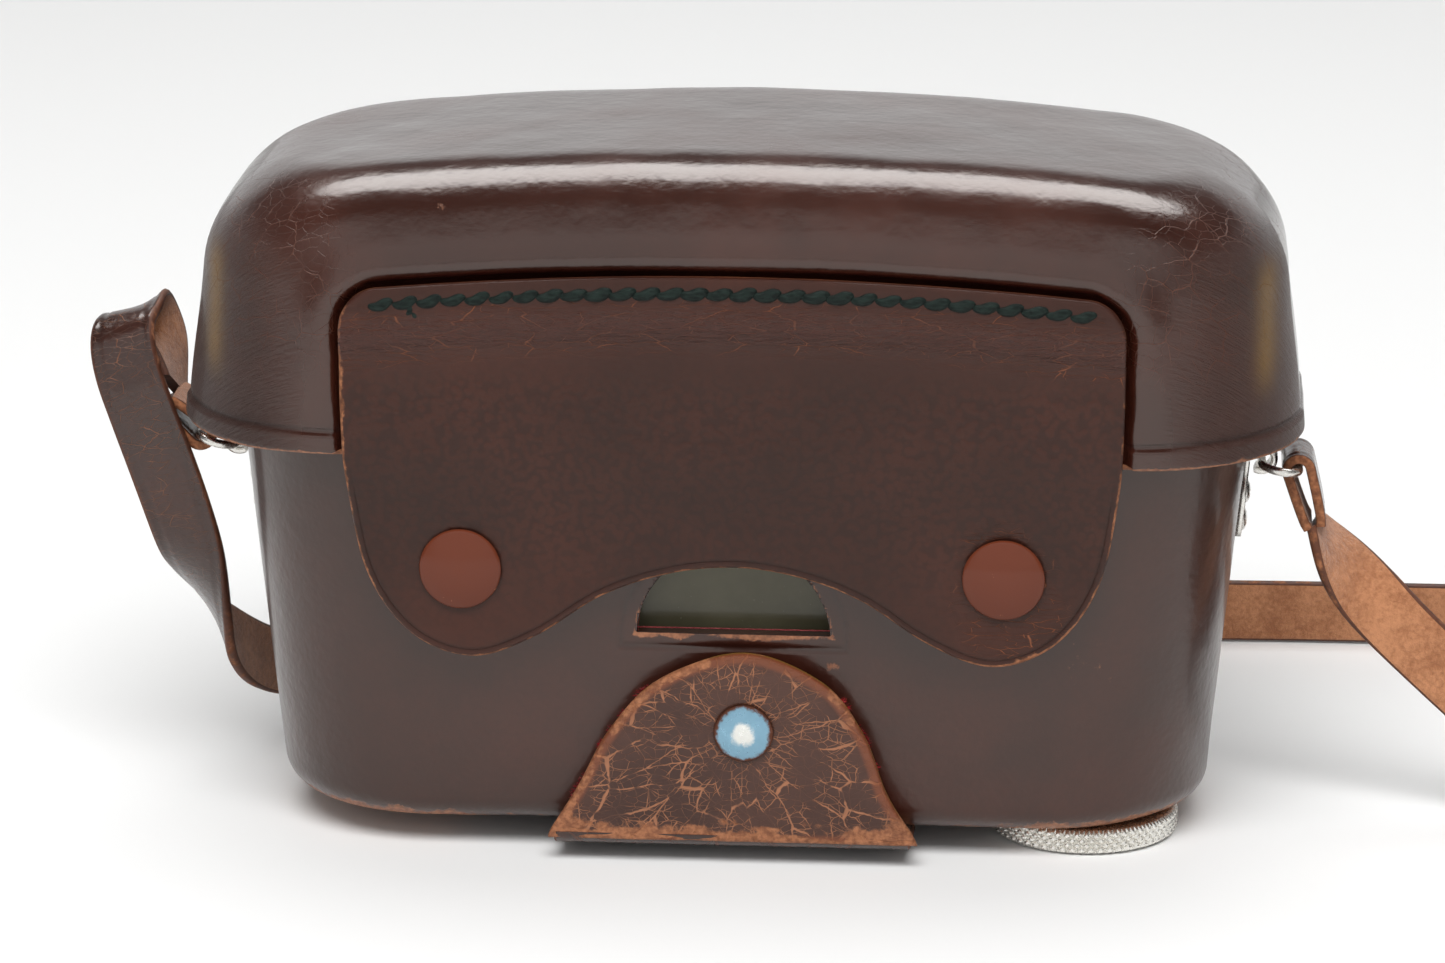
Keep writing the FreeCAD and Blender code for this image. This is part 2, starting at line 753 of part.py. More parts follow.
def make_back_cover():
    """The door over the film, with a slot at its hinge end for the pin."""
    door = skin(0.4, 1.15, camera_floor_z, camera_deck_z - 0.05)
    door = door.cut(block(-60, 60, -40, split_y + 0.1, 0, 80))
    knuckle = cylinder(1.5, V(hinge_x(), split_y + 1.6, camera_floor_z + 0.2), AXIS_Z, 50.3)
    return door.fuse(knuckle).cut(cylinder(0.8, V(hinge_x(), split_y + 1.6, 0), AXIS_Z, 80))


def hinge_x():
    return camera_half_width - 2.6


def make_hinge_pin():
    return cylinder(0.74, V(hinge_x(), split_y + 1.6, camera_floor_z + 0.3), AXIS_Z, 50.2)


def make_back_leatherette():
    cover = skin(0, 0.38, 13.0, camera_deck_z - 2.5)
    return cover.cut(block(-60, 60, -40, split_y + 0.1, 0, 80))


def make_back_latch():
    """Spring catch at the end of the back away from the hinge."""
    x = -camera_half_width + 1.2
    catch = block(x, x + 3.2, split_y + 0.4, split_y + 1.4, 32.0, 44.0)
    hook = block(x, x + 0.9, split_y - 2.5, split_y + 0.45, 35.0, 41.0)
    return catch.fuse(hook).removeSplitter()


def make_pressure_plate():
    plate = block(-17.0, 17.0, gate_y + 0.5, gate_y + 1.5, lens_z - 17.3, lens_z + 17.3)
    return plate


def make_pressure_spring():
    """Bowed leaf between the back cover and the pressure plate."""
    y0 = gate_y + 1.55
    y1 = camera_back_y - 1.2
    a, b, c = V(-14, y0, 0), V(0, y1 - 0.3, 0), V(14, y0, 0)
    lift = V(0, 0.25, 0)
    outline = Part.Wire([arc(a, b, c), segment(c, c + lift), arc(c + lift, b + lift, a + lift),
                         segment(a + lift, a)])
    leaf = Part.Face(outline).extrude(V(0, 0, 8))
    leaf.translate(V(0, 0, lens_z - 4))
    return leaf


def make_base_plate():
    lower = rounded_rect(2 * camera_half_width - 5.4, camera_depth - 5.4, camera_corner_r - 2.7,
                         camera_base_z, camera_middle_y)
    middle = rounded_rect(2 * camera_half_width, camera_depth, camera_corner_r,
                          camera_base_z + 2.6, camera_middle_y)
    upper = rounded_rect(2 * camera_half_width, camera_depth, camera_corner_r,
                         camera_floor_z - 0.02, camera_middle_y)
    plate = Part.makeLoft([lower, middle, upper], True, True)
    return plate.cut(cylinder(5.6, V(screw_x, screw_y, 0), AXIS_Z, 20))


def make_tripod_bush():
    """Steel bush in the base, threaded for the case screw."""
    return ring(5.5, screw_shank_r + 0.08, V(screw_x, screw_y, camera_base_z + 0.1), AXIS_Z, 9.0)


def base_screw_places():
    return [(-42.0, -8.0), (-42.0, 12.0), (42.0, 12.0), (0.0, -11.0)]


def make_base_screws():
    screws = []
    for x, y in base_screw_places():
        head = cylinder(1.7, V(x, y, camera_base_z - 0.0), AXIS_Z, 0.9)
        slot = block(x - 2, x + 2, y - 0.2, y + 0.2, camera_base_z - 0.1, camera_base_z + 0.35)
        shank = cylinder(0.8, V(x, y, camera_base_z), AXIS_Z, 6.0)
        screws.append(head.fuse(shank).removeSplitter().cut(slot))
    return screws


def screw_seats(radius, start_z, length):
    return group([cylinder(radius, V(x, y, start_z), AXIS_Z, length)
                  for x, y in base_screw_places()])


# ---- top cover and finder ----

finder_x = 16.0
shoe_x = 8.0
finder_z = 65.6
button_x, button_y = -34.5, -7.5
dial_x, dial_y = -14.0, -3.0


def finder_opening(half_width, half_height, y0, y1):
    return block(finder_x - half_width, finder_x + half_width, y0, y1,
                 finder_z - half_height, finder_z + half_height)


def make_top_cover():
    cap = body_prism(0, camera_deck_z, camera_top_z)
    cap = cap.makeFillet(1.6, [e for e in cap.Edges if e.BoundBox.ZMin > camera_top_z - 0.01])
    cap = cap.cut(body_prism(sheet_metal, camera_deck_z - 1, camera_top_z - sheet_metal))
    cutters = [
        finder_opening(6.1, 3.6, camera_front_y - 1, camera_front_y + 2),
        finder_opening(4.1, 2.9, camera_back_y - 2, camera_back_y + 1),
        cylinder(3.5, V(button_x, button_y, camera_top_z - 2), AXIS_Z, 4),
        cylinder(3.1, V(dial_x, dial_y, camera_top_z - 2), AXIS_Z, 4),
        cylinder(2.15, V(rewind_x, rewind_y, camera_top_z - 2), AXIS_Z, 4),
        block(wheel_x - 14.0, wheel_x + 14.0, camera_back_y - 3, camera_back_y + 1, 62.6, 66.9),
        lens_cylinder(barrel_seat_r + 0.1, -30, 0),
    ]
    for cutter in cutters:
        cap = cap.cut(cutter)
    collar = ring(4.6, 3.5, V(button_x, button_y, camera_top_z - 0.1), AXIS_Z, 1.2)
    return cap.fuse(collar).removeSplitter()


def make_front_window():
    return finder_opening(6.0, 3.5, camera_front_y + 0.1, camera_front_y + 1.1)


def make_eyepiece():
    return finder_opening(4.0, 2.8, camera_back_y - 1.1, camera_back_y - 0.1)


def make_finder_tube():
    outer = finder_opening(6.9, 4.4, camera_front_y + 1.2, camera_back_y - 1.2)
    return outer.cut(finder_opening(6.0, 3.4, -40, 40))


def make_accessory_shoe():
    """Channel for a clip-on accessory, open towards the back."""
    z = camera_top_z + 0.02
    x0, x1, y0, y1 = shoe_x - 11.0, shoe_x + 11.0, -9.0, 9.0
    shoe = block(x0, x1, y0, y1, z, z + 3.0)
    shoe = shoe.cut(block(x0 + 1.0, x1 - 1.0, y0 + 1.5, y1 + 1, z + 0.8, z + 2.3))
    return shoe.cut(block(x0 + 3.2, x1 - 3.2, y0 - 1, y1 + 1, z + 0.8, z + 4))


def make_release_button():
    """Button with its stem and the cable-release hole in its top."""
    top = camera_top_z + 3.0
    cap = cylinder(3.2, V(button_x, button_y, camera_top_z - 0.2), AXIS_Z, 3.2)
    cap = cap.makeFillet(0.7, [e for e in cap.Edges if e.BoundBox.ZMin > top - 0.01])
    stem = cylinder(1.0, V(button_x, button_y, 68.2), AXIS_Z, 4.0)
    return cap.fuse(stem).cut(cylinder(0.9, V(button_x, button_y, top - 1.6), AXIS_Z, 3))


def make_release_spring():
    """Compression spring round the stem, drawn as stacked turns."""
    turns = []
    for index in range(4):
        centre = V(button_x, button_y, 68.6 + 0.62 * index)
        turns.append(Part.makeTorus(1.75, 0.22, centre, AXIS_Z))
    return group(turns)


def make_counter_dial():
    dial = cylinder(6.0, V(dial_x, dial_y, 68.6), AXIS_Z, 0.7)
    arbor = cylinder(1.0, V(dial_x, dial_y, 66.2), AXIS_Z, 2.5)
    return dial.fuse(arbor).removeSplitter()


def make_counter_window():
    return cylinder(3.0, V(dial_x, dial_y, camera_top_z - 0.7), AXIS_Z, 0.6)


# ---- lens ----

def make_lens_barrel():
    """Turned barrel: a seat in the body, and a wider front that holds the glass and the rings."""
    back = camera_front_y + 3.9
    solid = lens_cylinder(barrel_r, glass_front_y - 0.5, camera_front_y - 0.1)
    solid = solid.fuse(lens_cylinder(barrel_seat_r, camera_front_y - 0.2, back))
    hollows = [
        lens_cylinder(glass_r + 0.05, -40, glass_front_y + 1.15),
        lens_cylinder(glass_r - 0.8, -40, camera_front_y - 1.0),
        lens_cylinder(barrel_seat_r - 1.0, -40, back - 0.8),
        lens_cylinder(9.0, -40, 10),
    ]
    for hollow in hollows:
        solid = solid.cut(hollow)
    return solid


def make_front_glass():
    return lens_cylinder(glass_r, glass_front_y, glass_front_y + 1.1)


def make_meter_cell():
    y = glass_front_y + 1.2
    return lens_cylinder(18.2, y, y + 0.8).cut(lens_cylinder(8.9, y - 1, y + 2))


def make_lens_cell():
    y0 = glass_front_y + 1.2
    return lens_cylinder(8.7, y0, camera_front_y + 7.5).cut(lens_cylinder(7.2, y0 - 1, 10))


def lens_element(radius, centre_y, bulge_r, thickness):
    """A biconvex element, the common part of two spheres and a rim."""
    front = Part.makeSphere(bulge_r, V(0, centre_y - thickness / 2 + bulge_r, lens_z))
    back = Part.makeSphere(bulge_r, V(0, centre_y + thickness / 2 - bulge_r, lens_z))
    return front.common(back).common(lens_cylinder(radius, centre_y - 5, centre_y + 5))


def make_aperture_ring():
    return lens_cylinder(aperture_ring_r, camera_front_y - 1.6, camera_front_y - 0.12)\
        .cut(lens_cylinder(barrel_r + running_gap, -40, 0))


def make_focus_ring():
    outer = lens_cylinder(focus_ring_r, glass_front_y - 0.4, camera_front_y - 1.72)
    outer = outer.cut(lens_cylinder(barrel_r + running_gap, -40, 0))
    flutes = []
    for index in range(36):
        flute = cylinder(0.5, V(0, -30, lens_z + focus_ring_r + 0.15), AXIS_Y, 20)
        flute.rotate(V(0, 0, lens_z), AXIS_Y, 10.0 * index)
        flutes.append(flute)
    return outer.cut(group(flutes))


blade_pivot = (4.2, -3.0)    # from the lens axis
blade_r = 3.4


def make_shutter_plate():
    """Plate with the aperture and the two pins that the blades swing on."""
    y = -12.2
    plate = lens_cylinder(7.1, y, y + 0.6).cut(lens_cylinder(2.6, y - 1, y + 2))
    pins = [cylinder(0.4, V(side * blade_pivot[0], y - 1.3, lens_z + blade_pivot[1]), AXIS_Y, 1.35)
            for side in (-1, 1)]
    return plate.fuse(pins)


def shutter_blade(side, y):
    """Thin blade that covers half of the aperture and swings about its pin."""
    pivot = V(side * blade_pivot[0], y, lens_z + blade_pivot[1])
    disc = lens_cylinder(blade_r, y, y + 0.2)
    edge = -0.5 * side
    outer = 6.0 * side
    half = block(min(edge, outer), max(edge, outer), y - 1, y + 1, lens_z - 6, lens_z + 6)
    arm = block(-0.8, 0.8, 0, 0.2, -3.0, 0)
    arm.rotate(V(0, 0, 0), AXIS_Y, side * 125.5)
    arm.translate(pivot)
    eye = cylinder(1.0, pivot, AXIS_Y, 0.2)
    blade = disc.common(half).fuse([eye, arm]).removeSplitter()
    return blade.cut(cylinder(0.45, pivot - V(0, 1, 0), AXIS_Y, 3))


# ---- film transport ----

def involute_gear(teeth, module, height, phase_deg, backlash=0.16):
    """Spur gear at the origin, its teeth involute, one tooth at phase_deg."""
    pitch_r = module * teeth / 2
    base_r = pitch_r * math.cos(math.radians(20))
    tip_r = pitch_r + 0.85 * module
    root_r = pitch_r - 1.2 * module
    inv20 = math.tan(math.radians(20)) - math.radians(20)
    half_tooth = math.pi / (2 * teeth) - backlash / (2 * pitch_r) + inv20
    low_r = max(base_r, root_r + 0.02)
    radii = [low_r + (tip_r - low_r) * k / 5 for k in range(6)]

    def flank_angle(radius):
        pressure = math.acos(min(1.0, base_r / radius))
        return half_tooth - (math.tan(pressure) - pressure)

    points = []
    for tooth in range(teeth):
        middle = math.radians(phase_deg) + 2 * math.pi * tooth / teeth
        points.append((root_r, middle - flank_angle(low_r)))
        points += [(r, middle - flank_angle(r)) for r in radii]
        points += [(r, middle + flank_angle(r)) for r in reversed(radii)]
        points.append((root_r, middle + flank_angle(low_r)))
    corners = [V(r * math.cos(a), r * math.sin(a), 0) for r, a in points]
    return Part.Face(Part.makePolygon(corners + [corners[0]])).extrude(V(0, 0, height))


gear_z = 60.3


def make_wheel_gear():
    gear = involute_gear(wheel_teeth, gear_module, 1.8, 0)
    gear.translate(V(wheel_x, transport_y, gear_z))
    return gear.cut(cylinder(2.0, V(wheel_x, transport_y, 0), AXIS_Z, 80))


def make_sprocket_gear():
    gear = involute_gear(sprocket_teeth, gear_module, 1.8, 180.0 + 180.0 / sprocket_teeth)
    gear.translate(V(sprocket_x, transport_y, gear_z))
    return gear.cut(cylinder(2.0, V(sprocket_x, transport_y, 0), AXIS_Z, 80))


def make_thumb_wheel():
    """Knurled wheel that sticks out of the back of the top cover, on the spool's shaft."""
    at = V(wheel_x, transport_y, 62.9)
    wheel = cylinder(thumb_wheel_r, at, AXIS_Z, 3.6)
    notches = []
    for index in range(72):
        notch = cylinder(0.35, at + V(thumb_wheel_r + 0.08, 0, 0), AXIS_Z, 3.6)
        notch.rotate(at, AXIS_Z, 5.0 * index)
        notches.append(notch)
    return wheel.cut(group(notches)).cut(cylinder(2.0, V(wheel_x, transport_y, 0), AXIS_Z, 80))


def make_take_up_spool():
    """Slotted hub between two flanges, with its shaft up to the thumb wheel."""
    at = V(wheel_x, transport_y, 0)
    hub = cylinder(spool_hub_r - 1.0, at + V(0, 0, 24), AXIS_Z, 34)
    lower = cylinder(spool_flange_r, at + V(0, 0, 23), AXIS_Z, 1.0)
    upper = cylinder(spool_flange_r, at + V(0, 0, 58), AXIS_Z, 1.0)
    shaft = cylinder(1.98, at + V(0, 0, 18), AXIS_Z, 48.4)
    spool = hub.fuse([lower, upper, shaft]).removeSplitter()
    return spool.cut(block(wheel_x + 2.6, wheel_x + 9.5, transport_y - 0.6, transport_y + 0.6,
                           27, 55))


def make_sprocket():
    """Two toothed rims, eight teeth each at the film's perforations, on one shaft."""
    at = V(sprocket_x, transport_y, 0)
    core = cylinder(4.6, at + V(0, 0, 25.0), AXIS_Z, 33.5)
    shaft = cylinder(1.98, at + V(0, 0, 19), AXIS_Z, 42.9)
    rims = [cylinder(5.6, at + V(0, 0, z), AXIS_Z, 2.4) for z in (27.6, 54.4)]
    teeth = []
    for z in (28.2, 55.0):
        for index in range(8):
            tooth = block(sprocket_x + 5.0, sprocket_x + 6.6, transport_y - 0.8,
                          transport_y + 0.8, z, z + 1.2)
            tooth.rotate(at, AXIS_Z, 45.0 * index)
            teeth.append(tooth)
    return core.fuse([shaft] + rims + teeth).removeSplitter()


def make_rewind_knob():
    """Knob with its shaft and the fork that turns a film cartridge's spool."""
    at = V(rewind_x, rewind_y, 0)
    knob = cylinder(rewind_knob_r, at + V(0, 0, camera_top_z + 0.4), AXIS_Z, 4.2)
    notches = []
    for index in range(40):
        notch = cylinder(0.4, at + V(rewind_knob_r + 0.1, 0, camera_top_z), AXIS_Z, 6)
        notch.rotate(at, AXIS_Z, 9.0 * index)
        notches.append(notch)
    knob = knob.cut(group(notches))
    return knob.cut(cylinder(6.6, at + V(0, 0, camera_top_z + 4.1), AXIS_Z, 2))


def make_rewind_shaft():
    at = V(rewind_x, rewind_y, 0)
    shaft = cylinder(2.05, at + V(0, 0, 61.0), AXIS_Z, camera_top_z + 0.35 - 61.0)
    fork = block(rewind_x - 2.6, rewind_x + 2.6, rewind_y - 0.6, rewind_y + 0.6, 57.0, 61.2)
    fork = fork.cut(block(rewind_x - 1.4, rewind_x + 1.4, -10, 10, 56, 60.2))
    return shaft.fuse(fork).removeSplitter()


# ---- write every sub-part ----

def place_snaps():
    """Caps and sockets on the flap, studs on the case."""
    caps = []
    sockets = []
    studs = []
    for x, z in snap_places():
        front = flap_front_y(z)
        inner = flap_inner_y(z)
        caps.append(snap_cap(x, z, front - 0.35, snap_cap_r, inner - front + 1.13))
        sockets.append(snap_socket(x, z, inner + 0.34))
        studs.append(snap_stud(x, z, case_front_y(z) - 0.15))
    x, z = tab_snap
    studs.append(snap_stud(x, z, case_front_y(z) - 0.15))
    return caps, sockets, studs


def main():
    save("case_bottom", make_lower_case())
    save("case_lining", make_case_lining())
    save("hood", make_hood())
    save("hood_lining", make_hood_lining())
    save("front_flap", make_flap())
    save("flap_lining", make_flap_lining())
    save("flap_stitches", make_flap_stitches())
    caps, sockets, studs = place_snaps()
    save("flap_snap_caps", group(caps))
    save("flap_snap_sockets", group(sockets))
    save("case_snap_studs", group(studs))
    save("tongue", make_tongue())
    save("hood_hinge_strip", make_hood_hinge())
    save("front_tab", make_tab())
    save("tab_lining", make_tab_lining())
    x, z = tab_snap
    save("tab_snap_cap", snap_cap(x, z, tab_face_y() - 0.02, tab_cap_r, 2.5))
    save("tab_snap_socket", snap_socket(x, z, tab_face_y() + 2.0))
    save("case_screw", make_case_screw())
    save("screw_washer", make_screw_washer())
    lug = make_lug()
    rivets = make_lug_rivets()
    save("side_lugs", group([lug, mirrored(lug)]))
    save("lug_rivets", group(rivets + [mirrored(rivet) for rivet in rivets]))
    save("ring_right", strap_ring(ring_tilt_right))
    save("ring_left", mirrored(strap_ring(ring_tilt_left)))
    left = ring_far_side(ring_tilt_left)
    folds = [strap_fold(V(-left.x, 0, left.z), V(-0.62, 0, 0.78), 5.6),
             strap_fold(ring_far_side(ring_tilt_right), V(0.28, 0, -0.96), 7.2)]
    save("strap_ends", group(folds))
    save("strap", group([tube(left_route(), strap_tube_r), tube(right_route(), strap_tube_r)]))
    save("strap_coil", make_strap_coil())

    save("chassis", make_chassis().cut(screw_seats(0.82, 5, 10)))
    save("front_shell", make_front_shell())
    save("leatherette", group([make_front_leatherette(), make_back_leatherette()]))
    save("back_cover", make_back_cover())
    save("back_hinge_pin", make_hinge_pin())
    save("back_latch", make_back_latch())
    save("pressure_plate", make_pressure_plate())
    save("pressure_spring", make_pressure_spring())
    save("base_plate", make_base_plate().cut(screw_seats(1.75, 5, 2.25)).cut(screw_seats(0.85, 5, 10)))
    save("tripod_bush", make_tripod_bush())
    save("base_screws", group(make_base_screws()))
    save("top_cover", make_top_cover())
    save("cover_windows", group([make_front_window(), make_eyepiece(), make_counter_window()]))
    save("finder_tube", make_finder_tube())
    save("accessory_shoe", make_accessory_shoe())
    save("release_button", make_release_button())
    save("release_spring", make_release_spring())
    save("counter_dial", make_counter_dial())
    save("lens_barrel", make_lens_barrel())
    save("front_glass", make_front_glass())
    save("meter_cell", make_meter_cell())
    save("lens_cell", make_lens_cell())
    save("lens_elements", group([lens_element(7.15, -15.6, 14, 3.2),
                                 lens_element(6.0, -10.3, 18, 2.2)]))
    save("aperture_ring", make_aperture_ring())
    save("focus_ring", make_focus_ring())
    save("shutter_plate", make_shutter_plate())
    save("shutter_blade_left", shutter_blade(-1, -12.6))
    save("shutter_blade_right", shutter_blade(1, -13.0))
    save("wheel_gear", make_wheel_gear())
    save("sprocket_gear", make_sprocket_gear())
    save("thumb_wheel", make_thumb_wheel())
    save("take_up_spool", make_take_up_spool())
    save("sprocket", make_sprocket())
    save("rewind_knob", make_rewind_knob())
    save("rewind_shaft", make_rewind_shaft())


main()
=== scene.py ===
import bpy
import json
import random
import numpy as np
from math import asin, copysign, cos, pi, radians, sin, sqrt
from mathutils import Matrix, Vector, geometry


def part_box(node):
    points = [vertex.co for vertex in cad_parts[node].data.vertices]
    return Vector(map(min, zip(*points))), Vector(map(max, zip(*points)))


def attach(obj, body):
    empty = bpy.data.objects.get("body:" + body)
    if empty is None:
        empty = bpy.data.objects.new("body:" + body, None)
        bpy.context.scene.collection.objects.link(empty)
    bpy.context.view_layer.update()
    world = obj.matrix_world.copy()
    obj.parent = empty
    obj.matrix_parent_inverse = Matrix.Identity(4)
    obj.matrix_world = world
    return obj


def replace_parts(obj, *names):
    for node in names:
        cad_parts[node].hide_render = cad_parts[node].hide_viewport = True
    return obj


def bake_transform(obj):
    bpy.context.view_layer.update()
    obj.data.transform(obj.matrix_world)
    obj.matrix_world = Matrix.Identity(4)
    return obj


# A half frame camera in its moulded leather ever-ready case.
# Lengths are in millimetres until a mesh is made, where MM turns them into metres.

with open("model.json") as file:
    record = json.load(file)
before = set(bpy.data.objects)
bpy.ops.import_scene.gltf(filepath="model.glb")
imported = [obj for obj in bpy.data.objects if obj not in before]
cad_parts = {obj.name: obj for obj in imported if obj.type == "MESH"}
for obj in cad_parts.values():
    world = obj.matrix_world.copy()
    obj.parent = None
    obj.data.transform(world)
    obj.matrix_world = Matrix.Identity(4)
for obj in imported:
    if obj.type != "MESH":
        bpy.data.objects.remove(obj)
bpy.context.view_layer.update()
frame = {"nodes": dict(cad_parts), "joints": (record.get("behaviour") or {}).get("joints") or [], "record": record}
MM = 0.001

# ---- driving dimensions, as in the CAD ----
LEATHER = 1.6
CASE_BASE_Z, CASE_RIM_Z, SOLE = 3.2, 53.0, 0.8
CASE_BASE, CASE_RIM = (109.0, 46.0), (118.6, 49.6)
CASE_CORNER, CASE_EDGE, CASE_REACH = 18.5, 3.2, 22.8
LIP_Z, CREST_Z = 48.6, 82.5
HOOD_LIP, HOOD_TOP = (130.0, 54.8), (124.0, 53.2)
HOOD_CORNER, HOOD_EDGE, HOOD_ARCH, HOOD_REACH = 20.0, 11.0, 420.0, 26.6
HEM = LIP_Z + 2.75
PORT_FLOOR, PORT_R, PORT_CENTRE = 27.2, 11.22, 26.48
NOTCH_HALF, NOTCH_FLOOR = 17.0, 36.6
FLAP_HALF, FLAP_TOP, FLAP_CORNER, FLAP_LOW = 44.6, 70.5, 4.8, 5.5
SEAM = FLAP_TOP - 1.9
SNAP_X, SNAP_Z, CAP_R = 31.1, 35.5, 4.7
TAB_HALF, TAB_TOP, TAB_BASE, TAB_SNAP, TAB_CAP_R = 21.0, 25.6, 4.1, (1.4, 16.3), 3.45
TAB_CAP_FACE = -28.2
LEAF_T, LEAF_BACK = 1.3, 1.28
SCREW, SCREW_HOLE_R, DISC_R, DISC_T = (40.4, -9.5), 5.5, 11.1, 3.0
STRAP_W, STRAP_T = 8.0, 1.3
COIL, COIL_R = (140.0, 22.0), 45.0
LUG_Z, LUG_T, EYE_R = 43.0, 0.8, 1.1
RING_REACH, RING_R = 4.4, 0.5


# ---- materials ----

class Nodes:
    """A node tree under construction: each call adds its nodes and returns the last one's output."""

    def __init__(self, owner, shader):
        owner.use_nodes = True
        self.owner = owner
        self.tree = owner.node_tree
        self.shader = self.tree.nodes[shader]

    def put(self, socket, value):
        if isinstance(value, bpy.types.NodeSocket):
            self.tree.links.new(value, socket)
        elif isinstance(value, tuple) and socket.type == "RGBA":
            socket.default_value = (*value, 1.0)
        else:
            socket.default_value = value

    def set(self, **inputs):
        """Sets the shader's inputs and returns the material or world."""
        for name, value in inputs.items():
            self.put(self.shader.inputs[name.replace("_", " ").title().replace("Ior", "IOR")], value)
        return self.owner

    def node(self, kind, output=0, props=(), **inputs):
        """Inputs are called by name, or by number as _0, _1 and so on."""
        made = self.tree.nodes.new("ShaderNode" + kind)
        for key, value in dict(props).items():
            setattr(made, key, value)
        for key, value in inputs.items():
            name = key.replace("_", " ").title()
            self.put(made.inputs[name if name in made.inputs else int(key[1:])], value)
        return made.outputs[output]

    def place(self, scale=(1, 1, 1)):
        """Object coordinates in metres, stretched by scale."""
        return self.node("Mapping", _0=self.node("TexCoord", "Object"), _3=scale)

    def flat_place(self):
        """A leaf's or band's own flat coordinates in millimetres, stored on its points."""
        return self.node("CombineXYZ", _0=self.attribute("u"), _1=self.attribute("v"))

    def noise(self, scale, detail=3.0, roughness=0.55, at=None):
        return self.node("TexNoise", _0=at or self.place(), scale=scale, detail=detail,
                         roughness=roughness)

    def pebbles(self, scale, at):
        return self.node("TexVoronoi", "Distance", {"feature": "SMOOTH_F1"}, _0=at, scale=scale)

    def attribute(self, name):
        return self.node("Attribute", "Fac", {"attribute_name": name})

    def math(self, operation, first, *others):
        total = first
        for other in others:
            total = self.node("Math", 0, {"operation": operation}, _0=total, _1=other)
        return total

    def sum(self, *values):
        return self.math("ADD", *values)

    def times(self, *values):
        return self.math("MULTIPLY", *values)

    def vector(self, operation, first, second, output=0):
        return self.node("VectorMath", output, {"operation": operation}, _0=first, _1=second)

    def span(self, value, low, high, to_low=0.0, to_high=1.0):
        """value from low..high moved to to_low..to_high, smoothly and held at both ends."""
        return self.node("MapRange", 0, {"interpolation_type": "SMOOTHSTEP"}, _0=value, _1=low,
                         _2=high, _3=to_low, _4=to_high)

    def blend(self, share, a, b):
        return self.node("Mix", 2, {"data_type": "RGBA"}, _0=share, _6=a, _7=b)

    def warped(self, scale, amount, at=None):
        """Coordinates shifted by noise, so that a pattern on them loses its straight lines."""
        at = at or self.place()
        shift = self.node("TexNoise", "Color", _0=at, scale=scale, detail=3.0)
        return self.node("VectorMath", 0, {"operation": "MULTIPLY_ADD"}, _0=shift,
                         _1=(amount,) * 3, _2=at)

    def bump(self, height, distance_mm, strength=1.0, **normal):
        return self.node("Bump", height=height, distance=distance_mm * MM, strength=strength,
                         **normal)


def material(name):
    return Nodes(bpy.data.materials.new(name), "Principled BSDF")


DARK, RED_BROWN, TAN = (0.023, 0.0058, 0.0032), (0.037, 0.0092, 0.0050), (0.34, 0.14, 0.066)
DEEP_TAN, NEAR_BLACK = (0.17, 0.062, 0.030), (0.012, 0.004, 0.003)
# The ochre colour is a painted sheen. Only the streaks on the hood's front corners use it.
CRACK_COLOUR, PAINTED_OCHRE_SHEEN = (0.30, 0.125, 0.062), (0.17, 0.085, 0.012)


def crack_net(m, amount, stretch, centre):
    """Thin cracks in the finish: two nets, and rays from centre (u, v) if there is one."""
    at = m.warped(0.32, 1.5, m.flat_place())
    drawn = m.node("Mapping", _0=at, _3=(*stretch, 1))
    nets = [(drawn, 0.48, 0.014), (drawn, 1.10, 0.017)]
    if centre:
        away = m.vector("SUBTRACT", at, (*centre, 0))
        u, v = [m.node("SeparateXYZ", axis, _0=away) for axis in (0, 1)]
        reach = m.node("VectorMath", "Value", {"operation": "LENGTH"}, _0=away)
        rays = m.node("CombineXYZ", _0=m.times(m.math("ARCTAN2", v, u), 4.2), _1=m.times(reach, 0.13))
        nets.insert(0, (rays, 1.0, 0.026))
    patchy = m.span(m.noise(0.28, 3, at=m.flat_place()), 0.40, 0.60)
    lines = []
    for place, scale, width in nets:
        edge = m.node("TexVoronoi", "Distance", {"feature": "DISTANCE_TO_EDGE",
                      "voronoi_dimensions": "2D"}, _0=place, scale=scale)
        lines.append(m.span(m.sum(edge, m.times(patchy, amount, -width)), 0.0, 0.018, 1.0, 0.0))
    return m.times(m.math("MAXIMUM", *lines), m.span(patchy, 0.0, 0.4, 0.2, 1.0),
                   m.span(amount, 0.02, 0.2))


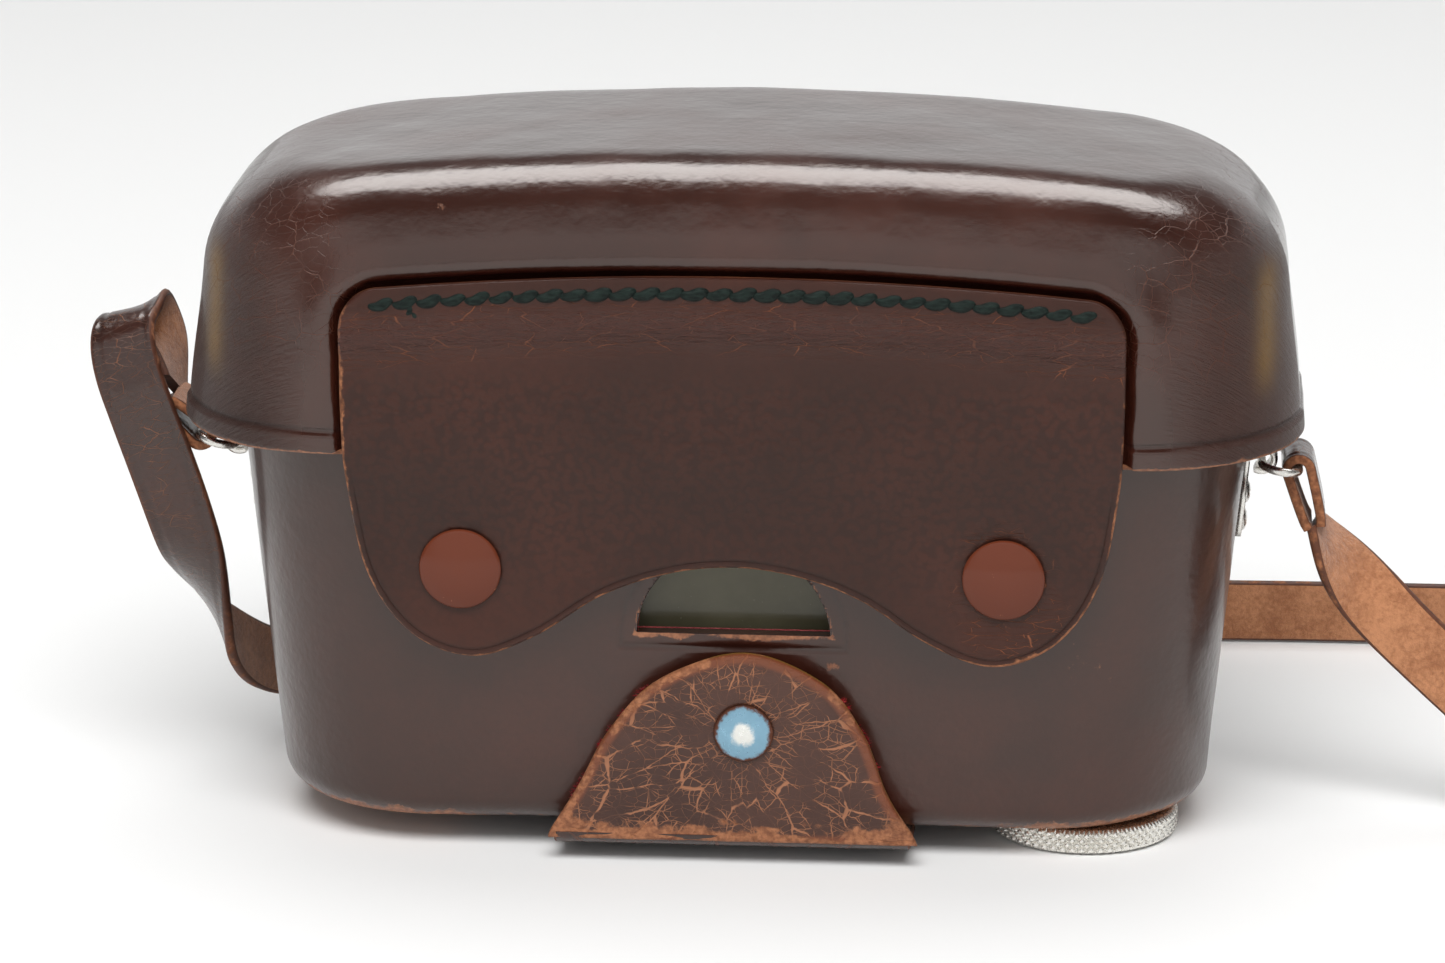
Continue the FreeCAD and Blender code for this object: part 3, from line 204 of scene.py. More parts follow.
def leather(name, dark=DARK, warm=RED_BROWN, gloss=0.21, coat=0.5, cracked=None, centre=None,
            crack_colour=CRACK_COLOUR, stain=PAINTED_OCHRE_SHEEN, specular=0.5, folded=False):
    """Moulded brown leather. The mesh says where it is worn, cracked, grained, folded and tooled, and where it is
    stained. On the hood the stained colour is a painted ochre sheen, and the tooling also paints shade round the
    flap.
    """
    m = material(name)
    wear, grain, tool = [m.attribute(a) for a in ("wear", "grain", "tool")]
    mottle = m.noise(60, 4)
    fine = m.noise(1500, 3, 0.6)
    flecks = m.noise(420, 5, 0.7)
    colour = m.blend(m.span(mottle, 0.35, 0.7), dark, warm)
    worn = m.span(m.sum(wear, m.times(m.sum(flecks, -0.5), 1.3)), 0.42, 0.62)
    relief = m.sum(m.times(fine, 0.10), m.times(worn, flecks, -0.35),
                   m.times(m.noise(620, 4, 0.6), 0.5))
    rough = m.span(mottle, 0.3, 0.8, gloss, gloss + 0.08)
    if cracked:
        split = crack_net(m, m.attribute("crack"), cracked, centre)
        colour = m.blend(m.times(split, 0.85), colour, crack_colour)
        relief = m.sum(relief, m.times(split, -0.5))
        rough = m.sum(rough, m.times(split, 0.3))
    if folded:
        fold = m.attribute("fold")
        wrinkle = m.noise(1.0, 4, 0.7, m.node("Mapping", _0=m.flat_place(), _3=(0.4, 1.9, 1)))
        relief = m.sum(relief, m.times(wrinkle, fold, 5.5))
        rough = m.sum(rough, m.times(fold, -0.2))
        coat = m.sum(coat, m.times(fold, 0.3))
    tan = m.blend(m.span(fine, 0.3, 0.7), TAN, DEEP_TAN)
    # Real stains on the flap and tab. The default ochre appears only on the hood, where it is a painted sheen.
    colour = m.blend(m.times(m.attribute("stain"), 0.8), colour, stain)
    # The tool field darkens real tooled lines. On the hood it also paints a shade line along the recess round the
    # flap.
    colour = m.blend(m.times(tool, 0.6), m.blend(worn, colour, tan), NEAR_BLACK)
    pebble = m.pebbles(1350, m.warped(900, 0.0004))
    relief = m.sum(relief, m.times(pebble, grain, -0.8))
    colour = m.blend(m.times(m.span(pebble, 0.3, 0.62), m.times(grain, 0.55)), colour, NEAR_BLACK)
    low = m.bump(m.noise(170, 3), 0.30, 0.5)
    return m.set(base_color=colour, roughness=m.sum(rough, m.times(worn, 0.4)),
                 normal=m.bump(relief, 0.16, 0.8, normal=low), coat_weight=coat, coat_roughness=0.10,
                 specular_ior_level=specular, specular_tint=(1.0, 0.92, 0.86))


def suede(name):
    m = material(name)
    nap = m.noise(1500, 5, 0.75)
    patch = m.noise(190, 4, 0.6)
    tone = m.span(m.sum(m.times(nap, 0.6), m.times(patch, 0.5)), 0.4, 0.7)
    return m.set(base_color=m.blend(tone, (0.27, 0.105, 0.045), (0.47, 0.21, 0.10)), roughness=0.95,
                 normal=m.bump(m.sum(nap, m.times(patch, 0.8)), 0.35, 0.9),
                 sheen_weight=0.35, sheen_roughness=0.5, specular_ior_level=0.2)


def velvet(name):
    m = material(name)
    tone = m.span(m.noise(90, 3), 0.3, 0.7)
    return m.set(base_color=m.blend(tone, (0.10, 0.005, 0.008), (0.26, 0.014, 0.018)), roughness=1.0,
                 normal=m.bump(m.noise(1800, 4, 0.7), 0.3), sheen_weight=1.0, sheen_roughness=0.35,
                 sheen_tint=(0.9, 0.25, 0.25), specular_ior_level=0.1)


def thread(name):
    m = material(name)
    fibre = m.noise(1.0, 3, 0.6, m.place((900, 3000, 3000)))
    tone = m.blend(m.span(fibre, 0.3, 0.7), (0.002, 0.0045, 0.0035), (0.009, 0.017, 0.0135))
    return m.set(base_color=tone, roughness=0.6, normal=m.bump(fibre, 0.16), sheen_weight=0.03,
                 specular_ior_level=0.2)


def enamel(name):
    m = material(name)
    chips = m.span(m.noise(700, 3, 0.6), 0.70, 0.74)
    wave = m.noise(160, 2)
    return m.set(base_color=m.blend(chips, (0.105, 0.024, 0.010), (0.26, 0.10, 0.05)),
                 roughness=m.span(wave, 0.2, 0.8, 0.10, 0.22), normal=m.bump(wave, 0.12, 0.4),
                 specular_ior_level=0.3)


def worn_cap(name):
    """Nickel with a bluish ring round a rubbed, whitish middle and flecks of enamel at the rim."""
    m = material(name)
    middle = (TAB_SNAP[0] * MM, TAB_CAP_FACE * MM, TAB_SNAP[1] * MM)
    away = m.vector("DISTANCE", m.place(), middle, "Value")
    ragged = m.sum(away, m.times(m.sum(m.noise(900, 4, 0.7), -0.5), 0.0016))
    rubbed = m.blend(m.span(ragged, 0.0009, 0.0017), (0.78, 0.78, 0.74), (0.24, 0.42, 0.54))
    return m.set(base_color=m.blend(m.span(ragged, 0.0028, 0.0033), rubbed, (0.13, 0.05, 0.03)),
                 metallic=0.85, roughness=m.span(m.noise(1300, 3), 0.3, 0.7, 0.25, 0.5),
                 normal=m.bump(m.noise(1400, 3), 0.05, 0.6))


def metal(name, colour, roughness, grime=0.25):
    m = material(name)
    streak = m.noise(2600, 3, 0.6)
    dirt = m.span(m.noise(300, 4, 0.65), 0.52, 0.75)
    dull = tuple(c * 0.45 for c in colour)
    rough = m.span(streak, 0.2, 0.8, roughness - 0.06, roughness + 0.08)
    return m.set(base_color=m.blend(m.times(dirt, grime), colour, dull), metallic=1.0,
                 roughness=m.sum(rough, m.times(dirt, 0.12)), normal=m.bump(streak, 0.003, 0.5))


def paint(name, colour, roughness, speckle=900, relief=0.03, coat=0.0):
    m = material(name)
    grain = m.noise(speckle, 3, 0.6)
    light = tuple(min(1.0, c * 1.5 + 0.004) for c in colour)
    return m.set(base_color=m.blend(m.span(grain, 0.35, 0.75), colour, light),
                 roughness=m.span(grain, 0.2, 0.8, roughness - 0.06, roughness + 0.08),
                 normal=m.bump(grain, relief, 0.7), coat_weight=coat, coat_roughness=0.2)


def leatherette(name):
    m = material(name)
    pebble = m.pebbles(850, m.warped(500, 0.0005))
    tone = m.blend(m.span(pebble, 0.1, 0.6), (0.006, 0.006, 0.0065), (0.02, 0.02, 0.021))
    return m.set(base_color=tone, roughness=0.5, normal=m.bump(pebble, 0.3), coat_weight=0.1)


def window_glass(name):
    m = material(name)
    return m.set(base_color=(0.9, 0.95, 0.94), roughness=m.span(m.noise(300), 0.3, 0.8, 0.02, 0.08),
                 transmission_weight=0.9, coat_weight=0.2)


def tinted_glass(name):
    """The camera's flat front: a grey-green pane over a dull backing."""
    m = material(name)
    haze = m.noise(120, 4, 0.6)
    dust = m.span(m.noise(2600, 2), 0.72, 0.76)
    tone = m.blend(m.span(haze, 0.3, 0.75), (0.078, 0.071, 0.043), (0.102, 0.093, 0.058))
    return m.set(base_color=m.blend(m.times(dust, 0.4), tone, (0.25, 0.25, 0.2)),
                 roughness=m.span(haze, 0.2, 0.8, 0.10, 0.2), specular_ior_level=0.4)


# ---- meshes ----

def add_object(name, data):
    made = bpy.data.objects.new(name, data)
    bpy.context.scene.collection.objects.link(made)
    return made


def add_mesh(name, points_mm, faces, materials, face_material=None, fields=None, sharp=None):
    """A smooth mesh piece from points in millimetres, with the named fields stored on its points."""
    mesh = bpy.data.meshes.new(name)
    mesh.from_pydata((np.asarray(points_mm) * MM).tolist(), [], [list(map(int, f)) for f in faces])
    mesh.update()
    for look in materials:
        mesh.materials.append(look)
    if face_material is not None:
        mesh.polygons.foreach_set("material_index", np.asarray(face_material, dtype=np.int32))
    for field, values in (fields or {}).items():
        stored = mesh.attributes.new(field, "FLOAT", "POINT")
        stored.data.foreach_set("value", np.asarray(values, dtype=np.float32))
    mesh.shade_smooth()
    if sharp:
        mesh.set_sharp_from_angle(angle=radians(sharp))
    return add_object(name, mesh)


def evaluated_mesh(holder):
    bpy.context.view_layer.update()
    graph = bpy.context.evaluated_depsgraph_get()
    return bpy.data.meshes.new_from_object(holder.evaluated_get(graph))


def step(value, low, high):
    """0 at low and 1 at high, smooth between; low may be above high."""
    share = np.clip((np.asarray(value, float) - low) / (high - low), 0.0, 1.0)
    return share * share * (3 - 2 * share)


def hill(value, centre, width):
    return np.exp(-((np.asarray(value, float) - centre) / width) ** 2)


def spot(x, z, at_x, at_z, size, stretch=1.0):
    """A round hill in the front view, or an oval one that is stretched along x."""
    return hill(np.hypot((x - at_x) / stretch, z - at_z), 0, size)


def even(count, whole=1.0):
    """count values from 0 on, evenly spaced up to but not including the whole."""
    return np.linspace(0, whole, count, endpoint=False)


def noise_field(points, cell, seed):
    """Smooth random values from -1 to 1 on a lattice of the given cell, in millimetres."""
    size = 32
    table = np.random.default_rng(seed).uniform(-1, 1, (size, size, size))
    at = np.asarray(points, float) / cell + 1000.0
    base = np.floor(at).astype(int)
    share = at - base
    share = share * share * (3 - 2 * share)
    total = np.zeros(len(at))
    for corner in range(8):
        bits = [(corner >> axis) & 1 for axis in range(3)]
        weight = np.prod([share[:, a] if bits[a] else 1 - share[:, a] for a in range(3)], axis=0)
        total += weight * table[tuple((base[:, a] + bits[a]) % size for a in range(3))]
    return total


def grid_faces(rows, columns, start=0):
    """Quads over rows of points, each row a closed ring of columns."""
    faces = []
    for row in range(rows - 1):
        for column in range(columns):
            a = start + row * columns + column
            b = start + row * columns + (column + 1) % columns
            faces.append((a, b, b + columns, a + columns))
    return faces


def uneven(points, *layers):
    """Layers of smooth random values, each an (amount, cell, seed)."""
    return sum(amount * noise_field(points, cell, seed) for amount, cell, seed in layers)


# ---- moulded leather forms: a rounded rectangle carried along a profile ----

def plan_columns(front, corner, side, back):
    """(section, share) of each column round a rounded rectangle, from the front left corner on."""
    columns = [(0, t) for t in front]
    for section, count in enumerate((corner, side, corner, back, corner, side, corner), 1):
        columns += [(section, k / count) for k in range(count)]
    return columns


def plan_points(columns, width, depth, radius):
    """Points and outward directions of the columns on a rounded rectangle."""
    x, y = width / 2 - radius, depth / 2 - radius
    points, outward = [], []
    for section, t in columns:
        quarter, corner = divmod(section, 2)
        if corner:
            centre = [(x, -y), (x, y), (-x, y), (-x, -y)][quarter]
            angle = radians(-90 + 90 * quarter + 90 * t)
            away = (cos(angle), sin(angle))
            points.append((centre[0] + radius * away[0], centre[1] + radius * away[1]))
        else:
            away = [(0, -1), (1, 0), (0, 1), (-1, 0)][quarter]
            along = 2 * t - 1
            points.append([(along * x, -y - radius), (x + radius, along * y),
                           (-along * x, y + radius), (-x - radius, -along * y)][quarter])
        outward.append(away)
    return np.array(points), np.array(outward)


def moulded(columns, profile, size, corner_r, drop):
    """Points and normals of a form. A profile entry is (z, how far drawn in, its normal's rise)."""
    points, normals = [], []
    for z, drawn, up in profile:
        width, depth = size(z)
        radius = max(corner_r - drawn, 0.02)
        flat, outward = plan_points(columns, width - 2 * drawn, max(depth - 2 * drawn, 2 * radius),
                                    radius)
        rise = radians(up)
        points.append(np.column_stack([flat, z - drop(flat[:, 0], z)]))
        normals.append(np.column_stack([outward * cos(rise), np.full(len(flat), sin(rise))]))
    return np.vstack(points), np.vstack(normals)


def case_size(z):
    """Width and depth of the case at height z."""
    share = (z - CASE_BASE_Z) / (CASE_RIM_Z - CASE_BASE_Z)
    return [a + (b - a) * share for a, b in zip(CASE_BASE, CASE_RIM)]


def hood_size(z):
    share = (z - LIP_Z) / (CREST_Z - LIP_Z)
    return [a + (b - a) * share for a, b in zip(HOOD_LIP, HOOD_TOP)]


def shell_profile(rim_z, top_z, inset, edge, half_depth, wall_step, way):
    """One side of a shell from its rim to its middle; way is 1 for upwards and -1 for down."""
    end = top_z - way * edge
    count = max(int(abs(end - rim_z) / wall_step), 2)
    profile = [(rim_z + (end - rim_z) * k / count, inset, 0.0) for k in range(count)]
    for angle in np.linspace(0, 90, 17):
        turn = radians(angle)
        profile.append((end + way * edge * sin(turn), inset + edge * (1 - cos(turn)),
                        way * angle))
    inward = np.linspace(inset + edge, half_depth, 14)[1:]
    return profile + [(top_z, drawn, way * 90.0) for drawn in inward]


def recess_distance(x, level):
    """Signed distance in the front view to the flap's rounded outline, drawn down to its bottom."""
    over_x = np.abs(x) - FLAP_HALF + FLAP_CORNER
    centre = (FLAP_TOP + FLAP_LOW) / 2
    over_z = np.abs(level - centre) - (FLAP_TOP - centre) + FLAP_CORNER
    outside = np.hypot(np.maximum(over_x, 0), np.maximum(over_z, 0))
    return outside + np.minimum(np.maximum(over_x, over_z), 0) - FLAP_CORNER


def arch_drop(x):
    """How much lower the hood's crest is at x than in the middle."""
    return x ** 2 / (2 * HOOD_ARCH)


def hood_drop(x, z):
    """Lowers the hood towards its ends, so that its whole top follows one arch."""
    return step(z, 52.0, 71.0) * arch_drop(x)


def hood_rows():
    """The hood's profile from its crest out, round the lip and back in, and which are outside."""
    outer = shell_profile(LIP_Z + 4.6, CREST_Z, 0.0, HOOD_EDGE, HOOD_REACH, 0.75, 1)
    dense = [(LIP_Z + 0.45 + 0.2 * k, 0.0, 0.0) for k in range(1, 20)]
    lip = [(LIP_Z + 0.45, 0.0, -20), (LIP_Z + 0.18, 0.12, -45), (LIP_Z + 0.02, 0.4, -80),
           (LIP_Z, 1.1, -90), (LIP_Z + 0.1, 1.45, -120), (LIP_Z + 0.4, LEATHER, -170)]
    inner = shell_profile(LIP_Z + 1.2, CREST_Z - LEATHER, LEATHER, HOOD_EDGE - LEATHER, HOOD_REACH,
                          3.0, 1)
    profile = outer[::-1] + dense[::-1] + lip + inner
    return profile, np.arange(len(profile)) < len(outer) + len(dense) + 2


def make_hood(look):
    columns = plan_columns(even(190), 46, 14, 90)
    profile, seen = hood_rows()
    points, normals = moulded(columns, profile, hood_size, HOOD_CORNER, hood_drop)
    outside = np.repeat(seen, len(columns)) * 1.0
    x, y, z = points.T
    front = y < 0
    upright = np.hypot(*normals[:, :2].T)
    facing = np.clip(-normals[:, 1], 0, 1) * front
    away = recess_distance(x, z + step(z, 50, 62) * arch_drop(x))
    recess = -0.75 * step(away, 0.75, 0.1) * facing
    bulge = 1.15 * hill(away, 2.2, 3.0) * step(away, -0.1, 1.1) * facing * step(z, 50, 60)
    band = 0.34 * step(z, HEM - 0.25, HEM - 0.65) * upright - 0.22 * hill(z, HEM, 0.28)
    rough = uneven(points, (0.16, 15, 4), (0.06, 5, 5))
    lift = (recess + bulge + band * step(away, -0.5, 1.0) + rough) * outside
    points = points + normals * lift[:, None]
    crease = hill(np.abs(x), 60.5, 1.3) * hill(z, 66, 8) * 0.5
    corner = step(upright, 0.2, 0.9) * hill(np.abs(x), 62, 4) * hill(z, 60, 16)
    nicks = spot(x, z, -33, 77, 0.9) + spot(x, z, 22, 80.5, 0.6)
    wear = step(z, LIP_Z + 0.3, LIP_Z + 0.05) + 0.5 * step(z, LIP_Z + 0.9, LIP_Z + 0.3)
    wear = np.clip(wear + 0.14 * corner + 0.5 * nicks * front + 0.1 * crease, 0, 1)
    # Painted sheen: this streak lays an ochre gloss down each front corner of the hood. It is stored with the
    # stains.
    streak = hill(np.abs(x), 60.4, 1.2) * step(z, 54, 60) * step(z, 72, 68) * front
    # The first term is the tooled line at the hem. The second term is painted shade: a dark line in the gap along
    # the recess edge round the flap.
    tool = hill(z, HEM, 0.3) * step(away, 0, 1) + 0.8 * hill(away, 0.1, 0.35) * facing
    dull = step(np.abs(x), 47, 56) * step(z, 76, 68) * (y < -8)
    fields = {"wear": wear, "stain": streak * step(y, -23.5, -21.5) * outside, "grain": 0.12 + 0 * z,
              "tool": tool * 0.8 * outside, "u": x, "v": z + y,
              "crack": 0.45 * hill(np.abs(x), 54, 8) * hill(z, 68, 8) * outside,
              "fold": -0.9 * dull * outside}
    hood = add_mesh("hood_leather", points, grid_faces(len(profile), len(columns)), [look],
                    fields=fields)
    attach(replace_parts(hood, "hood"), "hood")


def make_hood_lining(look):
    """The velvet inside the hood, following its arch."""
    columns = plan_columns(even(40), 12, 8, 40)
    outer, inner = [shell_profile(LIP_Z + 0.9, CREST_Z - inset, inset, HOOD_EDGE - inset, HOOD_REACH,
                                  2.0, 1) for inset in (LEATHER + 0.05, LEATHER + 0.5)]
    profile = outer[::-1] + inner
    points, _ = moulded(columns, profile, hood_size, HOOD_CORNER, hood_drop)
    lining = add_mesh("hood_velvet", points, grid_faces(len(profile), len(columns)), [look])
    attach(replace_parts(lining, "hood_lining"), "hood")


def case_rows():
    """The case's profile from its floor out, over the rim and back in, and which are outside."""
    outer = shell_profile(8.0, CASE_BASE_Z, 0.0, CASE_EDGE, CASE_REACH, 1.0, -1)[1:]
    outer = [entry for entry in outer if entry[0] <= CASE_BASE_Z + CASE_EDGE - 0.1]
    wall = np.concatenate([np.arange(CASE_BASE_Z + CASE_EDGE, 23.0, 1.1), np.arange(23.0, 39.0, 0.34),
                           np.arange(39.0, 52.5, 1.2)])
    rim = [(52.6, 0.0, 0), (CASE_RIM_Z - 0.15, 0.15, 45), (CASE_RIM_Z, 0.6, 90),
           (CASE_RIM_Z - 0.15, 1.45, 135), (52.4, LEATHER, 180)]
    inner = shell_profile(51.0, CASE_BASE_Z + SOLE + LEATHER, LEATHER, CASE_EDGE - LEATHER,
                          CASE_REACH, 4.0, -1)
    profile = outer[::-1] + [(z, 0.0, 0.0) for z in wall] + rim + inner
    return profile, np.arange(len(profile)) < len(outer) + len(wall) + 2


def make_case(look):
    half = 40.8
    xs = [np.linspace(low, high, count, endpoint=False)
          for low, high, count in ((-half, -16, 30), (-16, 16, 92), (16, half, 30))]
    columns = plan_columns((np.concatenate(xs) + half) / (2 * half), 30, 12, 50)
    profile, seen = case_rows()
    points, normals = moulded(columns, profile, case_size, CASE_CORNER, lambda x, z: 0 * x)
    outside = np.repeat(seen, len(columns)) * 1.0
    x, y, z = points.T
    facing = (normals[:, 1] < -0.9) * outside
    away = np.maximum(np.hypot(x, z - PORT_CENTRE) - PORT_R, PORT_FLOOR - z)
    line = hill(away, 1.75, 0.24) * step(z, PORT_FLOOR - 2.4, PORT_FLOOR - 1.2)
    base_line = hill(z, PORT_FLOOR - 1.75, 0.24) * step(np.abs(x), 13.6, 13.0)
    tooled = np.clip((line + base_line) * facing, 0, 1)
    rough = uneven(points, (0.14, 17, 8), (0.05, 6, 9)) * outside
    points = points + normals * (rough - 0.22 * tooled)[:, None]
    patch = 0.5 + 0.5 * noise_field(points, 2.6, 12)
    foot = (step(z, CASE_BASE_Z + 2.6, CASE_BASE_Z + 0.7) * (0.38 + 0.34 * step(np.abs(x), 26, 40))
            * outside)
    port = step(away, 0.9, 0.1) * step(z, 37, 34) * 0.5 * (0.5 + patch)
    sill = hill(z, PORT_FLOOR - 0.6, 0.7) * step(np.abs(x), 12.5, 11.5) * 0.62 * patch
    scuffs = (0.6 * spot(x, z, 11.4, 23.4, 1.0, 1.6) + 0.34 * spot(x, z, 40, 24, 5.0, 1.4)
              + 0.30 * spot(x, z, 37, 12, 4.0, 1.2))
    wear = foot + (port + sill + scuffs) * facing + step(z, 52.6, 53.0)
    case = add_mesh("case_leather", points, grid_faces(len(profile), len(columns)), [look],
                    fields={"wear": np.clip(wear, 0, 1), "grain": 0.25 + 0 * z,
                            "tool": 0.9 * tooled, "fold": -0.35 * outside})
    cut_openings(case)
    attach(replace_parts(case, "case_bottom"), "case")


def prism(name, low, high, **stored):
    """A closed solid between two outlines with the same number of points."""
    n = len(low)
    faces = [tuple(range(n - 1, -1, -1)), tuple(range(n, 2 * n))]
    faces += [(k, (k + 1) % n, (k + 1) % n + n, k + n) for k in range(n)]
    return add_mesh(name, low + high, faces, [], **stored)


def cut_openings(case):
    """Cuts the lens port and the screw's hole through the leather."""
    start, reach = [asin((z - PORT_CENTRE) / PORT_R) for z in (PORT_FLOOR, NOTCH_FLOOR)]
    arc = [(PORT_R * cos(a), PORT_CENTRE + PORT_R * sin(a))
           for a in np.linspace(start, reach, 26)]
    right = arc + [(NOTCH_HALF, NOTCH_FLOOR), (NOTCH_HALF, 60)]
    outline = right + [(-x, z) for x, z in reversed(right)]
    port = prism("cutter", *[[(x, y, z) for x, z in outline] for y in (-15.0, -40.0)],
                 fields={"wear": [0.62] * (2 * len(outline))})
    ring = [(SCREW[0] + SCREW_HOLE_R * cos(a), SCREW[1] + SCREW_HOLE_R * sin(a))
            for a in even(48, 2 * pi)]
    post = prism("post", *[[(x, y, z) for x, y in ring] for z in (0.0, 9.0)])
    for tool in (port, post):
        modifier = case.modifiers.new(tool.name, "BOOLEAN")
        modifier.operation = "DIFFERENCE"
        modifier.solver = "EXACT"
        modifier.object = tool
    finished = evaluated_mesh(case)
    case.modifiers.clear()
    case.data = finished
    for tool in (port, post):
        bpy.data.objects.remove(tool)
    finished.shade_smooth()
    finished.set_sharp_from_angle(angle=radians(50))


# ---- flat leather pieces: an outline filled with triangles, thickened and given a rim ----

RIM_LOOPS = [0.1, 0.22, 0.4, 0.62, 0.8, 1.0, 1.3, 1.8]


def resample(points, spacing):
    """The closed outline through points, sampled evenly."""
    ring = np.array(list(points) + [points[0]], float)
    lengths = np.concatenate([[0], np.cumsum(np.hypot(*np.diff(ring, axis=0).T))])
    at = even(int(lengths[-1] / spacing), lengths[-1])
    return np.column_stack([np.interp(at, lengths, ring[:, axis]) for axis in (0, 1)])


def inside(points, outline):
    """Which points are inside the closed outline."""
    x, y = points[:, 0][:, None], points[:, 1][:, None]
    ax, ay = outline.T
    bx, by = np.roll(ax, -1), np.roll(ay, -1)
    crosses = ((ay > y) != (by > y)) & (x < (bx - ax) * (y - ay) / (by - ay + 1e-12) + ax)
    return crosses.sum(axis=1) % 2 == 1


def edge_distance(points, outline):
    """Distance of each point from the outline's nearest edge."""
    span = np.roll(outline, -1, axis=0) - outline
    length2 = (span ** 2).sum(axis=1)
    best = np.zeros(len(points))
    batch = 2000
    for begin in range(0, len(points), batch):
        p = points[begin:begin + batch, None, :]
        t = np.clip(((p - outline) * span).sum(axis=2) / length2, 0, 1)
        near = outline + t[:, :, None] * span
        best[begin:begin + batch] = np.hypot(*(p - near).transpose(2, 0, 1)).min(axis=1)
    return best


def shrunk(rim, reach):
    """The closed outline moved inwards by reach, without the points that come too near it."""
    tangent = np.roll(rim, -1, axis=0) - np.roll(rim, 1, axis=0)
    tangent /= np.hypot(*tangent.T)[:, None]
    x, y = rim.T
    way = 1 if np.sum(x * np.roll(y, -1) - y * np.roll(x, -1)) > 0 else -1
    moved = rim + np.column_stack([-tangent[:, 1], tangent[:, 0]]) * way * reach
    moved = moved[inside(moved, rim)]
    return moved[edge_distance(moved, rim) > reach - 0.05]


def leaf_points(rim, spacing):
    """Points over a leaf: its rim, close loops inside the rim and a staggered grid."""
    low, high = rim.min(axis=0), rim.max(axis=0)
    us, vs = np.meshgrid(np.arange(low[0], high[0], spacing), np.arange(low[1], high[1], spacing))
    grid = np.column_stack([us.ravel(), vs.ravel()])
    grid[:, 0] += (np.floor((grid[:, 1] - low[1]) / spacing + 0.5) % 2) * spacing * 0.5
    grid = grid[inside(grid, rim)]
    grid = grid[edge_distance(grid, rim) > RIM_LOOPS[-1] + 0.4 * spacing]
    return np.vstack([rim] + [shrunk(rim, reach) for reach in RIM_LOOPS] + [grid])


def filled(rim, spacing):
    """Points and triangles over the closed outline, all turned the same way."""
    n = len(rim)
    edges = [(k, (k + 1) % n) for k in range(n)]
    flat = [Vector(p) for p in leaf_points(rim, spacing)]
    places, _, faces = geometry.delaunay_2d_cdt(flat, edges, [], 0, 1e-5)[:3]
    uv = np.array([tuple(v) for v in places])
    triangles = np.array([f for f in faces if len(f) == 3])
    triangles = triangles[inside(uv[triangles].mean(axis=1), rim)]
    spans = uv[triangles]
    turn = np.cross(spans[:, 1] - spans[:, 0], spans[:, 2] - spans[:, 0])
    triangles[turn < 0] = triangles[turn < 0][:, ::-1]
    return uv, triangles


def open_edges(triangles):
    """Edges with a triangle on one side only."""
    seen = {}
    for f in triangles:
        for a, b in ((f[0], f[1]), (f[1], f[2]), (f[2], f[0])):
            if seen.pop((b, a), None) is None:
                seen[(a, b)] = True
    return list(seen)


def panel(name, outline, surface, thickness, spacing, looks, fields, edge_r=0.45):
    """A thick leaf of leather. surface(u, v, height) gives places, fields(u, v, edge) the wear."""
    rim = resample(outline, 0.45)
    uv, triangles = filled(rim, spacing)
    u, v = uv.T
    edge = edge_distance(uv, rim)
    drop = np.clip(edge_r - edge, 0, edge_r)
    rounding = edge_r - np.sqrt(np.maximum(edge_r ** 2 - drop ** 2, 0))
    total = len(uv)
    walls = open_edges(triangles)
    faces = [tuple(f) for f in triangles] + [tuple(f[::-1] + total) for f in triangles]
    faces += [(b, a, a + total, b + total) for a, b in walls]
    kinds = [0] * len(triangles) + [1] * len(triangles) + [2] * len(walls)
    values = {**fields(u, v, edge), "u": u, "v": v}
    doubled = {key: np.concatenate([value, value]) for key, value in values.items()}
    sides = [surface(u, v, -rounding, edge), surface(u, v, rounding - thickness, edge)]
    return add_mesh(name, np.vstack(sides), faces, looks, kinds, doubled, sharp=60)


def plain_fields(*places):
    """No wear or cracks anywhere."""
    return {}


def velvet_leaf(name, outline, surface, look):
    """A thin velvet leaf on the back of the leather leaf with the given surface."""
    def behind(x, z, height, edge):
        return surface(x, z, height - LEAF_BACK, edge)

    return panel(name, outline, behind, 0.4, 2.0, [look] * 3, plain_fields, 0.1)


def front_at(x, z):
    return np.column_stack([x, 0 * x, z])


def smooth_open(points, per_span=12):
    """A Catmull-Rom curve through the points, from the first to the last."""
    p = np.vstack([2 * points[0] - points[1], points, 2 * points[-1] - points[-2]])
    curve = []
    for a, b, c, d in zip(p, p[1:], p[2:], p[3:]):
        for t in even(per_span):
            curve.append(0.5 * (2 * b + (c - a) * t + (2 * a - 5 * b + 4 * c - d) * t ** 2
                                + (3 * b - a - 3 * c + d) * t ** 3))
    return np.array(curve + [p[-2]])


def flap_y(z):
    """Front face of the flap at each height, its bends eased."""
    heights, fronts = [20.0, 41.5, 48.6, 70.2], [-27.23, -27.63, -29.15, -28.64]
    offsets = np.linspace(-4, 4, 9)
    weights = np.exp(-(offsets / 2.4) ** 2)
    eased = sum(weight * np.interp(np.asarray(z) + offset, heights, fronts)
                for offset, weight in zip(offsets, weights))
    return eased / weights.sum()


